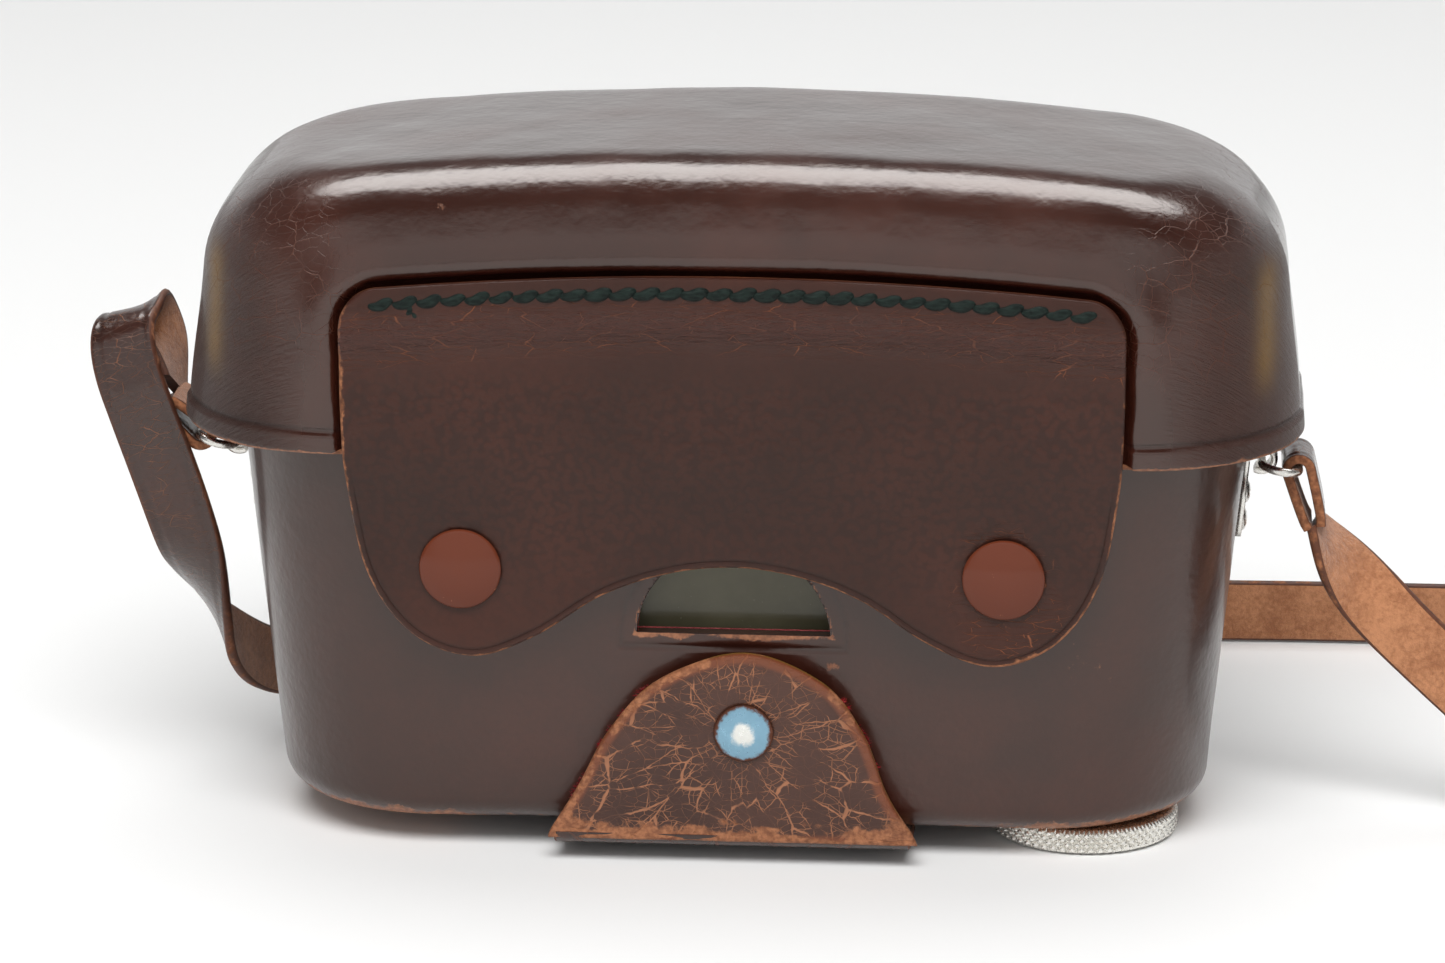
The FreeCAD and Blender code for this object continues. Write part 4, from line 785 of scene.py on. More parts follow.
def flap_outline():
    """From the middle of the arched top edge, round both lobes and back."""
    corner = [(x, FLAP_TOP - arch_drop(x)) for x in np.linspace(0.0, FLAP_HALF - FLAP_CORNER, 12)]
    x, z = corner[-1]
    corner += [(x + FLAP_CORNER * sin(a), z - FLAP_CORNER * (1 - cos(a)))
               for a in np.radians(np.linspace(10, 90, 9))]
    lobe = np.array([(44.55, 55.0), (44.1, 46.0), (42.0, 35.0), (37.0, 27.6), (30.0, 24.9),
                     (22.7, 27.4), (15.0, 32.4), (7.5, 35.2), (0.0, 36.1)])
    lower = smooth_open(np.vstack([lobe, lobe[-2::-1] * (-1, 1)]))
    right = corner + [(FLAP_HALF, 60.0)] + [tuple(p) for p in lower]
    return right + [(-FLAP_HALF, 60.0)] + [(-x, z) for x, z in reversed(corner[1:])]


def snap_reach(x, z):
    """Distance in the front view from the nearer snap cap's middle."""
    return np.hypot(np.abs(x) - SNAP_X, z - SNAP_Z)


def flap_surface(x, z, height, edge):
    around = snap_reach(x, z)
    level = z + arch_drop(x)
    dent = -0.45 * hill(around, 0, 5.2) + 0.12 * hill(around, 7.5, 2.0)
    groove = -0.16 * hill(edge, 0.8, 0.16) * step(z, 50, 44)
    seam = -0.28 * hill(level, SEAM, 0.7) * step(np.abs(x), 42.5, 41.5)
    crease = 0.55 * step(level, 62.4, 65.4) * step(level, FLAP_TOP, SEAM - 0.5)
    crease = crease - 0.12 * hill(level, 62.6, 0.5)
    folds = 0.10 * noise_field(front_at(x / 5.0, z / 0.55), 1.0, 23) * hill(level, 65.2, 2.2)
    curl = 0.35 * step(edge, 5.0, 0.0) * step(z, 40, 28)
    rough = uneven(front_at(x, z), (0.14, 9, 21), (0.05, 3.5, 22))
    y = flap_y(z) - height - dent - groove - seam - crease - folds - rough - curl
    return np.column_stack([x, y, z])


def flap_fields(x, z, edge):
    patch = 0.5 + 0.5 * noise_field(front_at(x, z), 6, 31)
    level = z + arch_drop(x)
    right = x > 0
    rim = (0.30 + 0.32 * patch) * step(edge, 0.5, 0.1) + 0.12 * step(edge, 1.6, 0.4)
    rim = rim * (0.35 + 0.65 * step(z, 60, 52))
    upper = hill(level, 65.0, 2.4)
    rubbed = 0.5 * step(edge, 1.3, 0.3) * step(x, -40, -43) * hill(z, 58, 8)
    lobe = 0.55 * spot(x, z, 33, 27.8, 5.5) + 0.35 * hill(snap_reach(x, z), 5.6, 1.3) * patch
    wear = rim * (1 + lobe) + rubbed + 0.1 * upper * patch + 0.36 * lobe * patch * right
    crack = upper * (0.5 + 0.5 * step(np.abs(x), 22, 43)) + lobe * 0.6 * right
    tool = 0.8 * hill(edge, 0.8, 0.22) * step(z, 52, 44) + 0.5 * hill(level, SEAM, 0.5)
    return {"wear": np.clip(wear, 0, 1), "crack": np.clip(crack, 0, 1),
            "grain": 0.25 + 0.75 * step(z, 60.5, 56.0) * step(z, 26, 42),
            "tool": np.clip(tool, 0, 1), "fold": upper, "stain": 0.9 * upper + rubbed}


def make_flap(looks):
    outline = flap_outline()
    flap = panel("flap_leather", outline, flap_surface, LEAF_T, 0.75, looks, flap_fields)
    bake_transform(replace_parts(flap, "front_flap"))
    leaf = velvet_leaf("flap_velvet", shrunk(resample(outline, 0.8), 0.7), flap_surface, looks[1])
    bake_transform(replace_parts(leaf, "flap_lining"))


def stitch_points(x0, z0, slant, length, radius, along_n, around_n):
    """A twisted two-ply stitch that sinks into the leather at both ends."""
    points = []
    for s in np.linspace(0, 1, along_n):
        off = 2 * s - 1
        lengthways = 0.5 * off * length
        thick = radius * sqrt(max(1 - off ** 4, 0.0))
        for angle in even(around_n, 2 * pi):
            reach = thick * (1 + 0.16 * cos(2 * angle - 9.5 * s))
            across = reach * cos(angle)
            points.append((x0 + lengthways * cos(slant) - across * sin(slant),
                           float(flap_y(SEAM)) - 0.2 + 0.6 * off ** 2 - 0.9 * reach * sin(angle),
                           z0 + lengthways * sin(slant) + across * cos(slant)))
    return points


def make_stitches(look):
    """Waxed stitches along the flap's top edge, and the two crossed ends of their thread."""
    rng = random.Random(5)
    count, half_span, along_n, around_n = 30, 41.0, 17, 12
    pitch = 2 * half_span / count
    rows = [(pitch * (index + 0.5), 0.0, rng.uniform(9, 16), 1.42, rng.uniform(0.58, 0.68))
            for index in range(count)]
    rows += [(4.6, 0.8, 70, 0.9, 0.6), (5.4, 1.3, -20, 0.9, 0.6)]
    points, faces = [], []
    for along, drop, turn, share, radius in rows:
        x = along - half_span
        faces += grid_faces(along_n, around_n, len(points))
        points += stitch_points(x, SEAM - arch_drop(x) - drop, radians(turn) - x / HOOD_ARCH,
                                share * pitch, radius, along_n, around_n)
    row = add_mesh("flap_thread", points, faces, [look])
    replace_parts(row, "flap_stitches")
    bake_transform(row)


def tab_surface(x, z, height, edge):
    dent = -0.35 * spot(x, z, *TAB_SNAP, 4.4)
    crown = 0.25 * step(z, 4.0, 8.0) - 0.35 * step(edge, 3.0, 0.0) * step(z, 5, 9)
    rough = uneven(front_at(x, z), (0.12, 6, 41), (0.08, 2.4, 42))
    return np.column_stack([x, -26.85 - height - dent - crown - rough, z])


def tab_fields(x, z, edge):
    around = np.hypot(x - TAB_SNAP[0], z - TAB_SNAP[1])
    patch = 0.5 + 0.5 * noise_field(front_at(x, z), 4, 43)
    streaks = 0.5 + 0.5 * noise_field(front_at(x / 4.0, z / 0.5), 1.0, 44)
    rim = (0.10 + 0.45 * patch) * step(edge, 1.3, 0.7)
    foot = step(z, 7.0, 4.2) * (0.16 + 0.55 * streaks)
    corners = 0.5 * step(np.abs(x), 15.5, 20.5) * step(z, 12, 5)
    wear = rim + foot + corners + 0.16 * patch * step(around, 5, 12)
    return {"wear": np.clip(wear, 0, 1), "grain": 0.15 + 0 * x, "stain": step(edge, 1.4, 0.7),
            "crack": np.clip(0.7 + 0.5 * patch + 0.3 * step(edge, 4, 1.5), 0, 1),
            "tool": 0.5 * hill(edge, 1.45, 0.18) * step(z, 3, 5)}


def make_tab(looks):
    foot = (TAB_HALF, TAB_BASE - 0.2)
    curve = smooth_open(np.array([foot, (17.9, 9.0), (15.2, 16.0), (10.4, 22.2),
                                  (TAB_SNAP[0], TAB_TOP), (-8.4, 22.2), (-14.2, 16.0), (-17.9, 9.0),
                                  (-foot[0], foot[1])]))
    flare = (TAB_HALF + 0.5, 2.75)
    outline = [flare] + [tuple(p) for p in curve] + [(-flare[0], flare[1])]
    tab = panel("tab_leather", outline, tab_surface, LEAF_T, 0.6, looks, tab_fields)
    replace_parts(tab, "front_tab")
    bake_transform(tab)
    upper = [(x, max(z, 5.0)) for x, z in shrunk(resample(outline, 0.8), 0.6) if z > 4.0]
    leaf = velvet_leaf("tab_velvet", upper, tab_surface, looks[1])
    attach(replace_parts(leaf, "tab_lining"), "tab")
    make_fuzz([p for p in resample(outline, 0.07) if 6.8 < p[1] < 21.5], looks[1])


def make_fuzz(places, look):
    """Velvet pile standing out in tufts past the tab's edge at the (x, z) places."""
    rng = np.random.default_rng(9)
    places = np.array(places)
    tuft = uneven(front_at(*places.T), (1.0, 1.5, 61), (0.6, 5.0, 62))
    thick = tuft > 0.05
    points, faces = [], []
    for (x, z), reach in zip(places[thick], tuft[thick]):
        out = np.array([copysign(0.85, x), -0.25, rng.uniform(-0.2, 0.9)])
        out += rng.normal(0, 0.35, 3)
        out *= (0.35 + 0.75 * reach) / np.linalg.norm(out)
        side = np.cross(out, rng.normal(0, 1, 3))
        side *= 0.045 / np.linalg.norm(side)
        root = np.array([x - copysign(0.25, x), -25.6, z]) + rng.normal(0, 0.08, 3)
        bend = root + 0.55 * out + rng.normal(0, 0.07, 3)
        first = len(points)
        points += [root - side, root + side, bend - 0.8 * side, bend + 0.8 * side, root + out]
        faces += [(first, first + 1, first + 3, first + 2), (first + 2, first + 3, first + 4)]
    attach(add_mesh("tab_fuzz", points, faces, [look]), "tab")


# ---- bands: a flat section carried along a line ----

def band_section(half_width, thickness, grooved):
    """Outline of the band's section: (across, out, material), the grain side out."""
    t, r = thickness / 2, min(0.4, thickness * 0.3)
    flat = np.linspace(-1, 1, 19) * (half_width - r)
    dip = 0.14 * hill(np.abs(flat), half_width - 1.1, 0.22) * grooved
    grain = [(x, t - deep, 0) for x, deep in zip(flat, dip)]
    rim = [(half_width - 0.3 * r, t - 0.35 * r, 2), (half_width, 0.0, 2),
           (half_width - 0.3 * r, 0.35 * r - t, 2)]
    return grain + rim + [(x, -t, 1) for x in flat[::-1]] + [(-x, -rise, 2) for x, rise, _ in rim]


def run_along(line):
    """Length of the line up to each of its points."""
    return np.concatenate([[0], np.cumsum(np.linalg.norm(np.diff(line, axis=0), axis=1))])


def sweep_band(name, line, width_way, half_width, thickness, looks, fields, grooved=True):
    """A band along line (n, 3), its width along width_way; half_width is one value or one each."""
    halves = np.broadcast_to(np.asarray(half_width, float), (len(line),))
    tangent = np.gradient(line, axis=0)
    tangent /= np.linalg.norm(tangent, axis=1)[:, None]
    wide = width_way - (width_way * tangent).sum(axis=1)[:, None] * tangent
    wide /= np.linalg.norm(wide, axis=1)[:, None]
    points = []
    for p, w, o, half in zip(line, wide, np.cross(tangent, wide), halves):
        section = band_section(half, thickness, grooved)
        points += [p + w * across + o * rise for across, rise, _ in section]
    columns, total = len(section), len(points)
    faces = [tuple(range(columns - 1, -1, -1))] + grid_faces(len(line), columns)
    faces.append(tuple(range(total - columns, total)))
    ring = [entry[2] for entry in section]
    kinds = [max(a, b) for a, b in zip(ring, ring[1:] + ring[:1])] * (len(line) - 1)
    run = np.repeat(run_along(line), columns)
    across = np.tile([entry[0] for entry in section], len(line))
    values = {**fields(run, np.abs(across), np.array(points)), "u": run, "v": across}
    return add_mesh(name, points, faces, looks, [2] + kinds + [2], values, sharp=60)


def smooth_line(points):
    """Points along the smooth NURBS curve that the given points control."""
    curve = bpy.data.curves.new("route", "CURVE")
    curve.dimensions = "3D"
    spline = curve.splines.new("NURBS")
    spline.points.add(len(points) - 1)
    for point, (x, y, z) in zip(spline.points, points):
        point.co = (x * MM, y * MM, z * MM, 1.0)
    spline.order_u = 3
    spline.use_endpoint_u = True
    spline.resolution_u = 14
    holder = add_object("route", curve)
    mesh = evaluated_mesh(holder)
    line = np.array([tuple(v.co) for v in mesh.vertices]) / MM
    bpy.data.objects.remove(holder)
    bpy.data.curves.remove(curve)
    bpy.data.meshes.remove(mesh)
    return line


# Where the strap's middle goes, and which way its width points there.
LEFT_ROUTE = [((-68.4, 0.4, 48.8), (0, 1, 0)), ((-69.4, 3.2, 52.6), (0.2, 1, 0)),
              ((-70.8, 4.4, 55.6), (0.7, 0.8, 0)), ((-73.0, 1.9, 57.9), (1, 0.3, 0.2)),
              ((-74.0, -2.0, 56.9), (1, 0, 0.45)), ((-73.4, -4.4, 52.8), (1, 0, 0.4)),
              ((-71.2, -5.0, 46.6), (1, 0, 0.3)), ((-68.9, -4.4, 39.6), (1, 0.1, 0.15)),
              ((-66.9, -2.8, 32.0), (0.9, 0.1, -0.2)), ((-65.6, 1.2, 24.2), (0.6, 0, -0.7)),
              ((-63.8, 8.4, 15.4), (0.3, 0, -1))]
LEFT_ROUTE += [(place, (0, 0, -1)) for place in [(-60.0, 18.6, 8.6), (-53.4, 30.0, 5.4),
               (-42.0, 40.0, 4.4), (-25.0, 48.2, 4.1), (-4.6, 54.6, 4.2), (17.4, 60.0, 4.0),
               (40.0, 63.6, 4.1), (62.6, 65.0, 4.0), (84.0, 64.8, 4.1), (105.6, 65.0, 4.0),
               (126.0, 65.4, 4.0)]]
RIGHT_ROUTE = [((67.0, 0.0, 35.2), (0.1, 1, 0)), ((70.0, -0.8, 30.6), (0.5, 0.8, 0.5)),
               ((75.0, -2.0, 25.0), (0.7, 0.1, 0.9)), ((81.6, -3.4, 19.0), (0.6, 0, 1)),
               ((89.0, -4.8, 12.6), (0.5, 0, 1)), ((96.4, -5.4, 6.8), (0.2, 0, 1)),
               ((101.6, -2.2, 4.3), (0, 0, 1))]


def coil_route():
    """The strap laid double and wound on its edge, from the end of the left run to the right's."""
    pitch, strand, per_turn, count = 14.4, 7.2, 14, 24
    first, outer = radians(96.0), COIL_R - 1.2
    down, up = (0, 0, -1), (0, 0, 1)

    def at(turn, inside, way):
        angle = first - 2 * pi * turn / per_turn
        radius = outer - inside - pitch * turn / per_turn
        return ((COIL[0] + radius * cos(angle), COIL[1] + radius * sin(angle), 4.0), way)

    route = [at(turn, 0.0, down) for turn in range(count + 1)]
    route += [at(count + 0.7, 1.0, down), at(count + 1.1, 0.5 * strand, (0.7, 0.7, -0.3)),
              at(count + 0.7, strand - 1.0, (0.7, 0.7, 0.3)), at(count, strand, (0.5, 0.5, 0.8))]
    route += [at(turn, strand, up) for turn in range(count - 1, -1, -1)]
    approach = [(120.0, 58.0), (109.6, 53.6), (102.8, 45.6), (99.8, 35.0), (99.2, 24.0),
                (99.6, 13.0), (100.8, 4.6)]
    return route + [((x, y, 4.0), up) for x, y in approach]


def strap_fields(run, across, points):
    patch = 0.5 + 0.5 * noise_field(points, 7, 51)
    edge = step(across, STRAP_W / 2 - 0.5, STRAP_W / 2)
    return {"wear": np.clip(0.4 * edge + 0.1 * patch, 0, 1), "crack": 0.1 + 0.5 * patch,
            "grain": 0.5 + 0 * run, "tool": 0.7 * hill(across, STRAP_W / 2 - 1.1, 0.3)}


def make_strap(looks):
    """The neck strap along its route. A second line, 4 mm to one side, leads its width."""
    route = LEFT_ROUTE + coil_route() + RIGHT_ROUTE[::-1]
    line = smooth_line([p for p, _ in route])
    led = smooth_line([tuple(np.array(p) + 4 * np.array(w) / np.linalg.norm(w)) for p, w in route])
    strap = sweep_band("neck_strap", line, led - line, STRAP_W / 2, STRAP_T, looks, strap_fields)
    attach(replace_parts(strap, "strap", "strap_coil"), "case")


def ring_far(body, ring):
    """Middle of a ring's outer side, from its box and the place of its hinge."""
    joint = next(j for j in frame["joints"] if j["child"] == body)
    pivot = np.array(joint["pos_m"]) / MM
    low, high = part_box(ring)
    x = (low.x if pivot[0] < 0 else high.x) / MM
    reach = abs(x - pivot[0]) - RING_R
    rise = sqrt(max(RING_REACH ** 2 - reach ** 2, 0.0))
    up = 1 if high.z / MM - pivot[2] > pivot[2] - low.z / MM else -1
    return np.array([pivot[0] + copysign(reach, pivot[0]), 0.0, pivot[2] + up * rise])


def end_fields(run, across, points):
    edge = step(across, STRAP_W / 2 - 0.5, STRAP_W / 2)
    return {"wear": np.clip(0.6 * edge + 0.15, 0, 1), "crack": 0.6 + 0 * run,
            "grain": 0.5 + 0 * run, "tool": 0 * run}


def make_strap_end(name, body, ring, way, length, looks):
    """The strap's end: a loop round its ring, both layers pressed together."""
    eye = ring_far(body, ring)
    way = np.array(way, float) / np.linalg.norm(way)
    across = np.array([way[2], 0, -way[0]])
    loop = 0.75 + STRAP_T / 2

    def layer(s, side):
        spread = loop * (0.55 + 0.45 * sqrt(1 - s))
        return eye + way * length * s + across * side * spread

    line = [layer(s, 1) for s in np.linspace(1, 0, 10)]
    line += [eye + across * loop * cos(a) - way * loop * sin(a)
             for a in np.radians(np.linspace(0, 180, 15))[1:-1]]
    line += [layer(s, -1) for s in np.linspace(0, 1, 10)]
    widths = np.tile([0.0, copysign(1, eye[0]), 0.0], (len(line), 1))
    end = sweep_band(name, np.array(line), widths, STRAP_W / 2, STRAP_T - 0.15, looks, end_fields)
    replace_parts(end, "strap_ends")
    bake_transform(end)


def make_tongue(looks):
    """The leather band from under the tab, along the floor and up the back to the hood."""
    back, under, bend_r, half = 26.95, 0.76, 2.25, 15.0
    path = [(0, -26.15, 3.7), (0, -26.1, 3.3), (0, -25.9, 2.95), (0, -25.5, 2.68), (0, -24.9, 2.56)]
    path += [(0, y, under + 1.8 * (-12 - y) / 12.6) for y in np.linspace(-24.3, -12.6, 20)]
    path += [(0, y, under) for y in np.linspace(-12.0, back - 3.0, 50)]
    path += [(0, back - bend_r + bend_r * sin(a), 3.0 - 2.24 * cos(a))
             for a in np.radians(np.linspace(0, 90, 12))]
    path += [(0, back + 0.02, z) for z in np.linspace(4.0, 46.0, 36)]
    path += [(0, back + 1.3 * float(step(z, 46.0, 50.5)), z) for z in np.linspace(47.0, 61.4, 22)]
    line = np.array(path, float)
    run = run_along(line)
    tip, tip_r = run[-1] - run, 6
    rounded = half - tip_r + np.sqrt(np.maximum(tip_r ** 2 - (tip_r - tip) ** 2, 0))
    halves = np.where(tip < tip_r, rounded, half + 5.8 * step(run, 16.5, 11.0))

    def fields(run_at, across, points):
        bend = hill(points[:, 2], 2.0, 2.5) + hill(points[:, 2], 48.5, 2.2)
        return {"wear": np.clip(0.5 * step(across, 14.0, 15.0) + 0.25 * bend, 0, 1),
                "crack": 0.2 + 0.6 * np.clip(bend, 0, 1), "grain": 0.6 + 0 * run_at,
                "tool": 0.8 * hill(across, 13.4, 0.3)}

    ways = np.tile([1.0, 0.0, 0.0], (len(line), 1))
    tongue = sweep_band("tongue_leather", line, ways, halves, 1.42, looks, fields)
    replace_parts(tongue, "tongue", "hood_hinge_strip")
    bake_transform(tongue)


# ---- metal fittings ----

def turned(name, profile, place, segments, look, flipped, sharp=None):
    """A piece turned about an axis through the origin; place(out, a, b) sets it in the frame."""
    points = [place(out, radius * cos(angle), radius * sin(angle))
              for radius, out in profile
              for angle in even(segments, 2 * pi)]
    faces = grid_faces(len(profile), segments)
    return add_mesh(name, points, [f[::-1] for f in faces] if flipped else faces, [look],
                    sharp=sharp)


def make_lug(side, name, look):
    """A thin plate on the case's side, curled into an eye for its ring, and its two rivets."""
    wall = 0.05
    eye_x = case_size(LUG_Z + 2)[0] / 2 + wall + LUG_T + EYE_R
    reach = EYE_R + LUG_T / 2
    line = [(case_size(z)[0] / 2 + wall + LUG_T / 2, 0, z) for z in np.linspace(33.5, LUG_Z, 20)]
    line += [(eye_x + reach * cos(a), 0, LUG_Z + reach * sin(a))
             for a in np.radians(np.linspace(180, -120, 26))]
    line = np.array(line) * (side, 1, 1)
    half = 2.8 - 1.3 * step(line[:, 2], 38.5, 41.5)
    half[:6] = 2.8 * np.sqrt(1 - (1 - np.arange(1, 7) / 6.5) ** 2)
    ways = np.tile([0.0, float(side), 0.0], (len(line), 1))
    plate = sweep_band("side_lug_" + name, line, ways, half, LUG_T, [look] * 3, plain_fields, False)
    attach(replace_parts(plate, "side_lugs"), "case")
    dome = [(0.6, 0.02), (0.5, 0.8), (0.25, 1.3), (0.0, 1.5), (-0.1, 1.4)]
    for number, z in enumerate((LUG_Z - 4.2, LUG_Z - 7.6)):
        base = case_size(z)[0] / 2 + LUG_T
        head = turned("lug_rivet_%s_%d" % (name, number), [(r, out) for out, r in dome],
                      lambda out, a, b: (side * (base + out), a, z + b), 24, look, side > 0)
        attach(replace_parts(head, "lug_rivets"), "case")


def make_cap(name, radius, x, y, z, look):
    """A shallow dome with a rolled rim."""
    rise = 0.22 * radius
    ball = (radius ** 2 + rise ** 2) / (2 * rise)
    profile = [(r, 0.5 + sqrt(ball ** 2 - r ** 2) - ball + rise)
               for r in np.linspace(0.001, radius - 0.12, 22)]
    profile += [(radius - 0.12 + 0.14 * sin(a), 0.30 + 0.2 * cos(a))
                for a in np.linspace(0.3, pi, 8)]
    profile.append((radius * 0.8, 0.06))
    return turned(name, profile, lambda out, a, b: (x + a, y - out, z + b), 72, look, True, 50)


def make_caps(enamelled, worn):
    for side, name in ((-1, "left"), (1, "right")):
        cap = make_cap("snap_cap_" + name, CAP_R, side * SNAP_X, float(flap_y(SNAP_Z)) - 0.02, SNAP_Z,
                       enamelled)
        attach(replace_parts(cap, "flap_snap_caps"), "flap")
    cap = make_cap("tab_cap", TAB_CAP_R, TAB_SNAP[0], -26.9, TAB_SNAP[1], worn)
    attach(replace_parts(cap, "tab_snap_cap"), "tab")


def make_screw(knurled, plain):
    """The case screw: a diamond-knurled disc with turned faces, a hub and the shank."""
    teeth, per_tooth, depth, lead = 60, 8, 0.45, 1.15
    angles = even(teeth * per_tooth, 2 * pi)
    socket = [(0.01, 4.55), (3.17, 4.55), (3.17, 0.35), (3.45, 0.02), (6.9, 0.0), (7.2, 0.18),
              (7.5, 0.02), (DISC_R - 0.7, 0.0), (DISC_R - 0.45, 0.12)]
    edge = [(DISC_R, z) for z in np.linspace(0.42, DISC_T - 0.42, 26)]
    shank = [(DISC_R - 0.45, DISC_T - 0.12), (DISC_R - 0.7, DISC_T), (5.2, DISC_T), (5.2, 5.5),
             (3.12, 5.55), (3.12, 13.8), (2.9, 14.0), (0.01, 14.0)]
    rows = socket + edge + shank
    points = []
    for radius, z in rows:
        across = angles * teeth / (2 * pi)
        ridges = [np.abs((across + way * z / lead) % 1.0 - 0.5) * 2 for way in (1, -1)]
        r = radius - (depth * np.maximum(*ridges) ** 3 if radius == DISC_R else 0.0)
        points.append(np.column_stack([SCREW[0] + r * np.cos(angles), SCREW[1] + r * np.sin(angles),
                                       np.full(len(angles), z)]))
    first = len(socket) - 1
    kinds = [0 if first <= row <= first + len(edge) else 1
             for row in range(len(rows) - 1) for _ in angles]
    disc = add_mesh("case_screw_disc", np.vstack(points), grid_faces(len(rows), len(angles)),
                    [knurled, plain], kinds, sharp=45)
    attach(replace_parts(disc, "case_screw"), "screw")


# ---- camera, lights and room ----

def aim(holder, at, target):
    holder.location = at
    holder.rotation_euler = (Vector(target) - Vector(at)).to_track_quat("-Z", "Y").to_euler()


def make_camera():
    camera = bpy.data.cameras.new("camera")
    camera.lens = 153.0
    camera.sensor_width = 36.0
    camera.clip_start = 0.01
    target = Vector((-0.0011, -0.026, 0.046))
    azimuth, elevation, distance = radians(4.2), radians(16.0), 0.70
    back = Vector((sin(azimuth) * cos(elevation),
                   -cos(azimuth) * cos(elevation), sin(elevation)))
    holder = add_object("camera", camera)
    aim(holder, target + distance * back, target)
    bpy.context.scene.camera = holder


def area_light(name, at, aim_z, size, power):
    light = bpy.data.lights.new(name, "AREA")
    light.shape = "ELLIPSE"
    light.size, light.size_y = size
    light.energy = power
    holder = add_object(name, light)
    aim(holder, at, (0, 0, aim_z))
    return holder


def make_stage():
    """A pale floor; one light seen only in gloss, and two that light without being seen in it."""
    far, level = 4.0 / MM, -0.15
    points = [(-far, -far, level), (far, -far, level), (far, far, level), (-far, far, level)]
    look = material("pale_floor").set(base_color=(0.79, 0.79, 0.785), roughness=0.6,
                                      specular_ior_level=0.3)
    add_mesh("floor", points, [(0, 1, 2, 3)], [look])
    overhead = (0.0, 0.27, 0.92)
    area_light("shine", overhead, 0.06, (1.25, 0.46), 10.4).visible_diffuse = False
    area_light("top", overhead, 0.03, (1.2, 0.6), 3.7).visible_glossy = False
    area_light("fill", (0.0, -0.78, 1.2), 0.03, (1.3, 0.8), 21.5).visible_glossy = False


def make_world():
    """Pale walls low down in front and behind, a darker room at the sides and above."""
    front, behind, dark, sides = 0.85, 0.95, 0.06, 0.2
    w = Nodes(bpy.data.worlds.new("studio"), "Background")
    toward = w.node("TexCoord", "Generated")
    x, y, z = [w.node("SeparateXYZ", axis, _0=toward) for axis in range(3)]
    overhead = w.math("ARCTAN2", z, w.times(y, -1.0))
    ramp = w.node("ValToRGB", 0, _0=w.math("DIVIDE", overhead, pi))
    stops = [(0.0, behind), (0.32, behind), (0.38, dark), (0.72, dark), (0.80, 0.15), (0.85, front),
             (1.0, front)]
    elements = ramp.node.color_ramp.elements
    while len(elements) < len(stops):
        elements.new(0.5)
    for element, (position, level) in zip(elements, stops):
        element.position = position
        element.color = (level, level, level, 1.0)
    sideways = w.span(w.math("ABSOLUTE", x, 0.0), 0.5, 0.9)
    bpy.context.scene.world = w.set(color=w.blend(sideways, ramp, (sides,) * 3))
    bpy.context.scene.view_settings.view_transform = "Standard"


# ---- assembly ----

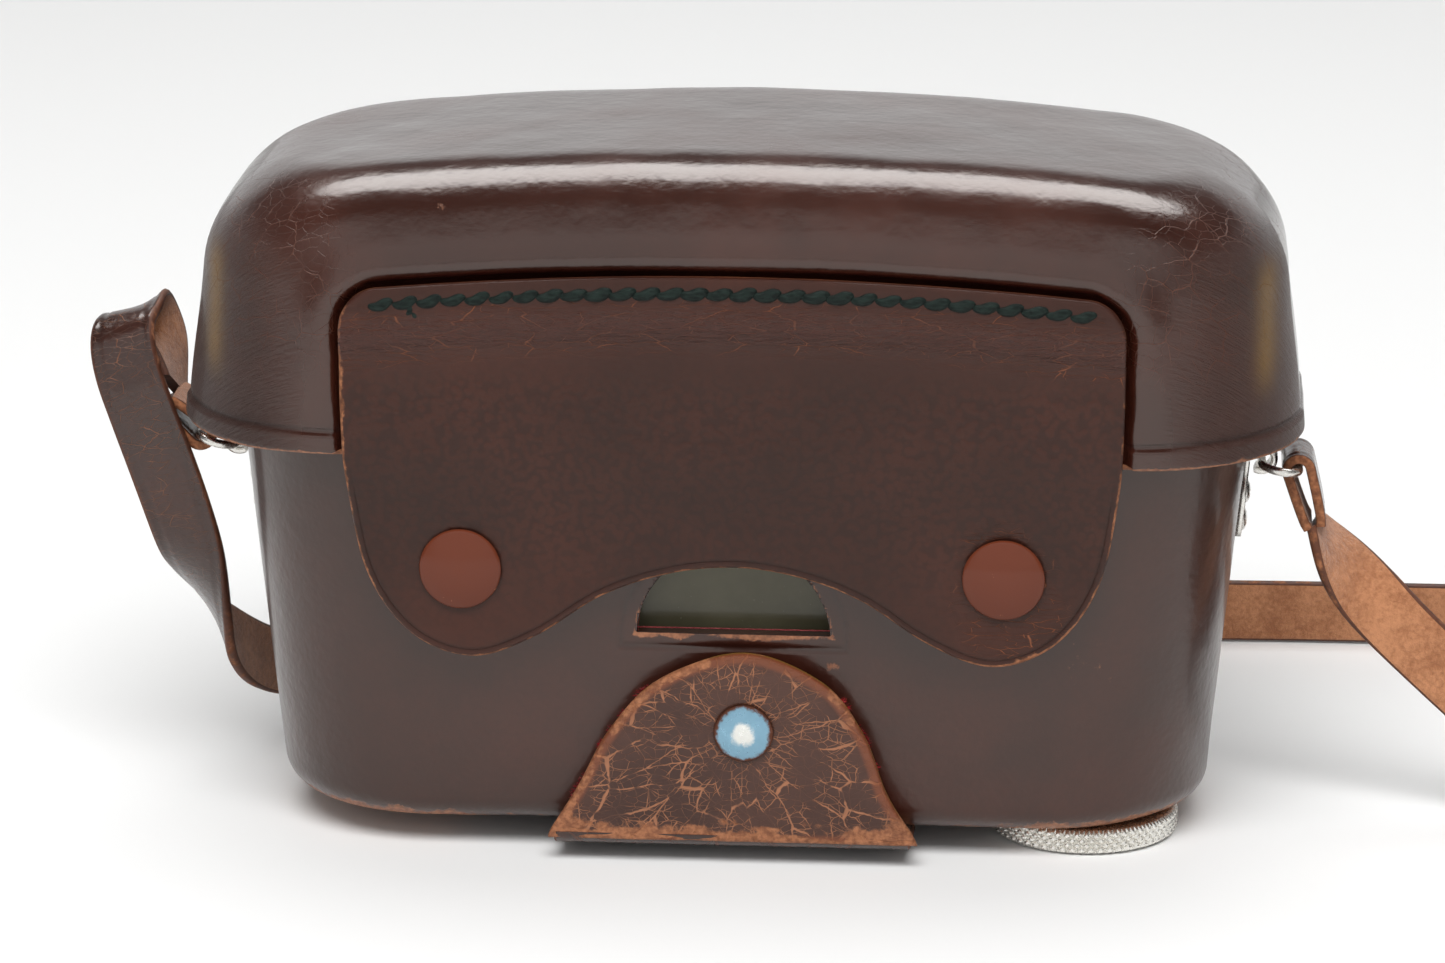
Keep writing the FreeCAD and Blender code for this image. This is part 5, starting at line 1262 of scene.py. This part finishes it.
def make_looks():
    """The material of each slot that the record names."""
    rows = [(velvet, "red_velvet"), (enamel, "brown_enamel"), (thread, "waxed_thread"),
            (worn_cap, "worn_cap"), (tinted_glass, "front_glass"), (window_glass, "clear_glass"),
            (leatherette, "black_leatherette"), (metal, "nickel", (0.72, 0.70, 0.66), 0.25),
            (metal, "knurled_nickel", (0.86, 0.84, 0.79), 0.26, 0.2),
            (metal, "bright_steel", (0.62, 0.62, 0.64), 0.22),
            (metal, "satin_chrome", (0.70, 0.70, 0.71), 0.34, 0.12),
            (metal, "cast_aluminium", (0.45, 0.46, 0.47), 0.5),
            (metal, "turned_brass", (0.74, 0.52, 0.24), 0.3),
            (paint, "black_paint", (0.012, 0.012, 0.013), 0.45),
            (paint, "black_plastic", (0.014, 0.014, 0.015), 0.4, 1500, 0.02, 0.2),
            (paint, "white_dial", (0.62, 0.62, 0.58), 0.4),
            (paint, "light_cell", (0.10, 0.11, 0.08), 0.3, 500, 0.1, 0.4)]
    slots = {"worn_cap": "worn_nickel", "turned_brass": "brass", "light_cell": "meter_cell"}
    looks = {slots.get(name, name): make(name, *values) for make, name, *values in rows}
    looks["brown_leather"] = leather("brown_leather", coat=0.4, specular=0.58, folded=True,
                                     cracked=(0.55, 0.55), crack_colour=(0.09, 0.026, 0.012))
    looks["tab_leather"] = leather("tab_leather", (0.040, 0.0155, 0.011), (0.062, 0.025, 0.017), 0.36,
                                   0.15, cracked=(0.7, 1.1), centre=TAB_SNAP,
                                   crack_colour=(0.33, 0.14, 0.072), stain=(0.16, 0.045, 0.018),
                                   specular=0.4)
    looks["strap_leather"] = leather("strap_grain", gloss=0.26, cracked=(1.3, 0.5),
                                     crack_colour=(0.20, 0.075, 0.034))
    return looks


def main():
    make_camera()
    make_stage()
    make_world()
    looks = make_looks()
    for part in frame["record"]["subparts"]:
        for slot in frame["nodes"][part["node"]].material_slots:
            slot.material = looks[part["material_slot"]]
    flap_brown = leather("flap_leather", (0.025, 0.0066, 0.0038), (0.039, 0.0103, 0.0058), 0.36, 0.0,
                         cracked=(0.28, 1.6), crack_colour=(0.22, 0.075, 0.034),
                         stain=(0.046, 0.0085, 0.0032), specular=0.38, folded=True)
    edge = leather("raw_edge", (0.055, 0.017, 0.009), (0.12, 0.038, 0.016), 0.55, 0.0)
    tan = suede("tan_suede")
    brown, pile = looks["brown_leather"], looks["red_velvet"]
    strap = [looks["strap_leather"], tan, edge]
    make_strap(strap)
    make_hood(brown)
    make_hood_lining(pile)
    make_case(brown)
    make_flap([flap_brown, pile, edge])
    make_stitches(looks["waxed_thread"])
    make_tab([looks["tab_leather"], pile, edge])
    make_tongue([brown, tan, edge])
    make_strap_end("strap_end_left", "left_ring", "ring_left", (-0.74, 0, 0.67), 5.2, strap)
    make_strap_end("strap_end_right", "right_ring", "ring_right", (0.28, 0, -0.96), 7.2, strap)
    make_caps(looks["brown_enamel"], looks["worn_nickel"])
    make_screw(looks["knurled_nickel"], looks["nickel"])
    for side, name in ((-1, "left"), (1, "right")):
        make_lug(side, name, looks["nickel"])


main()
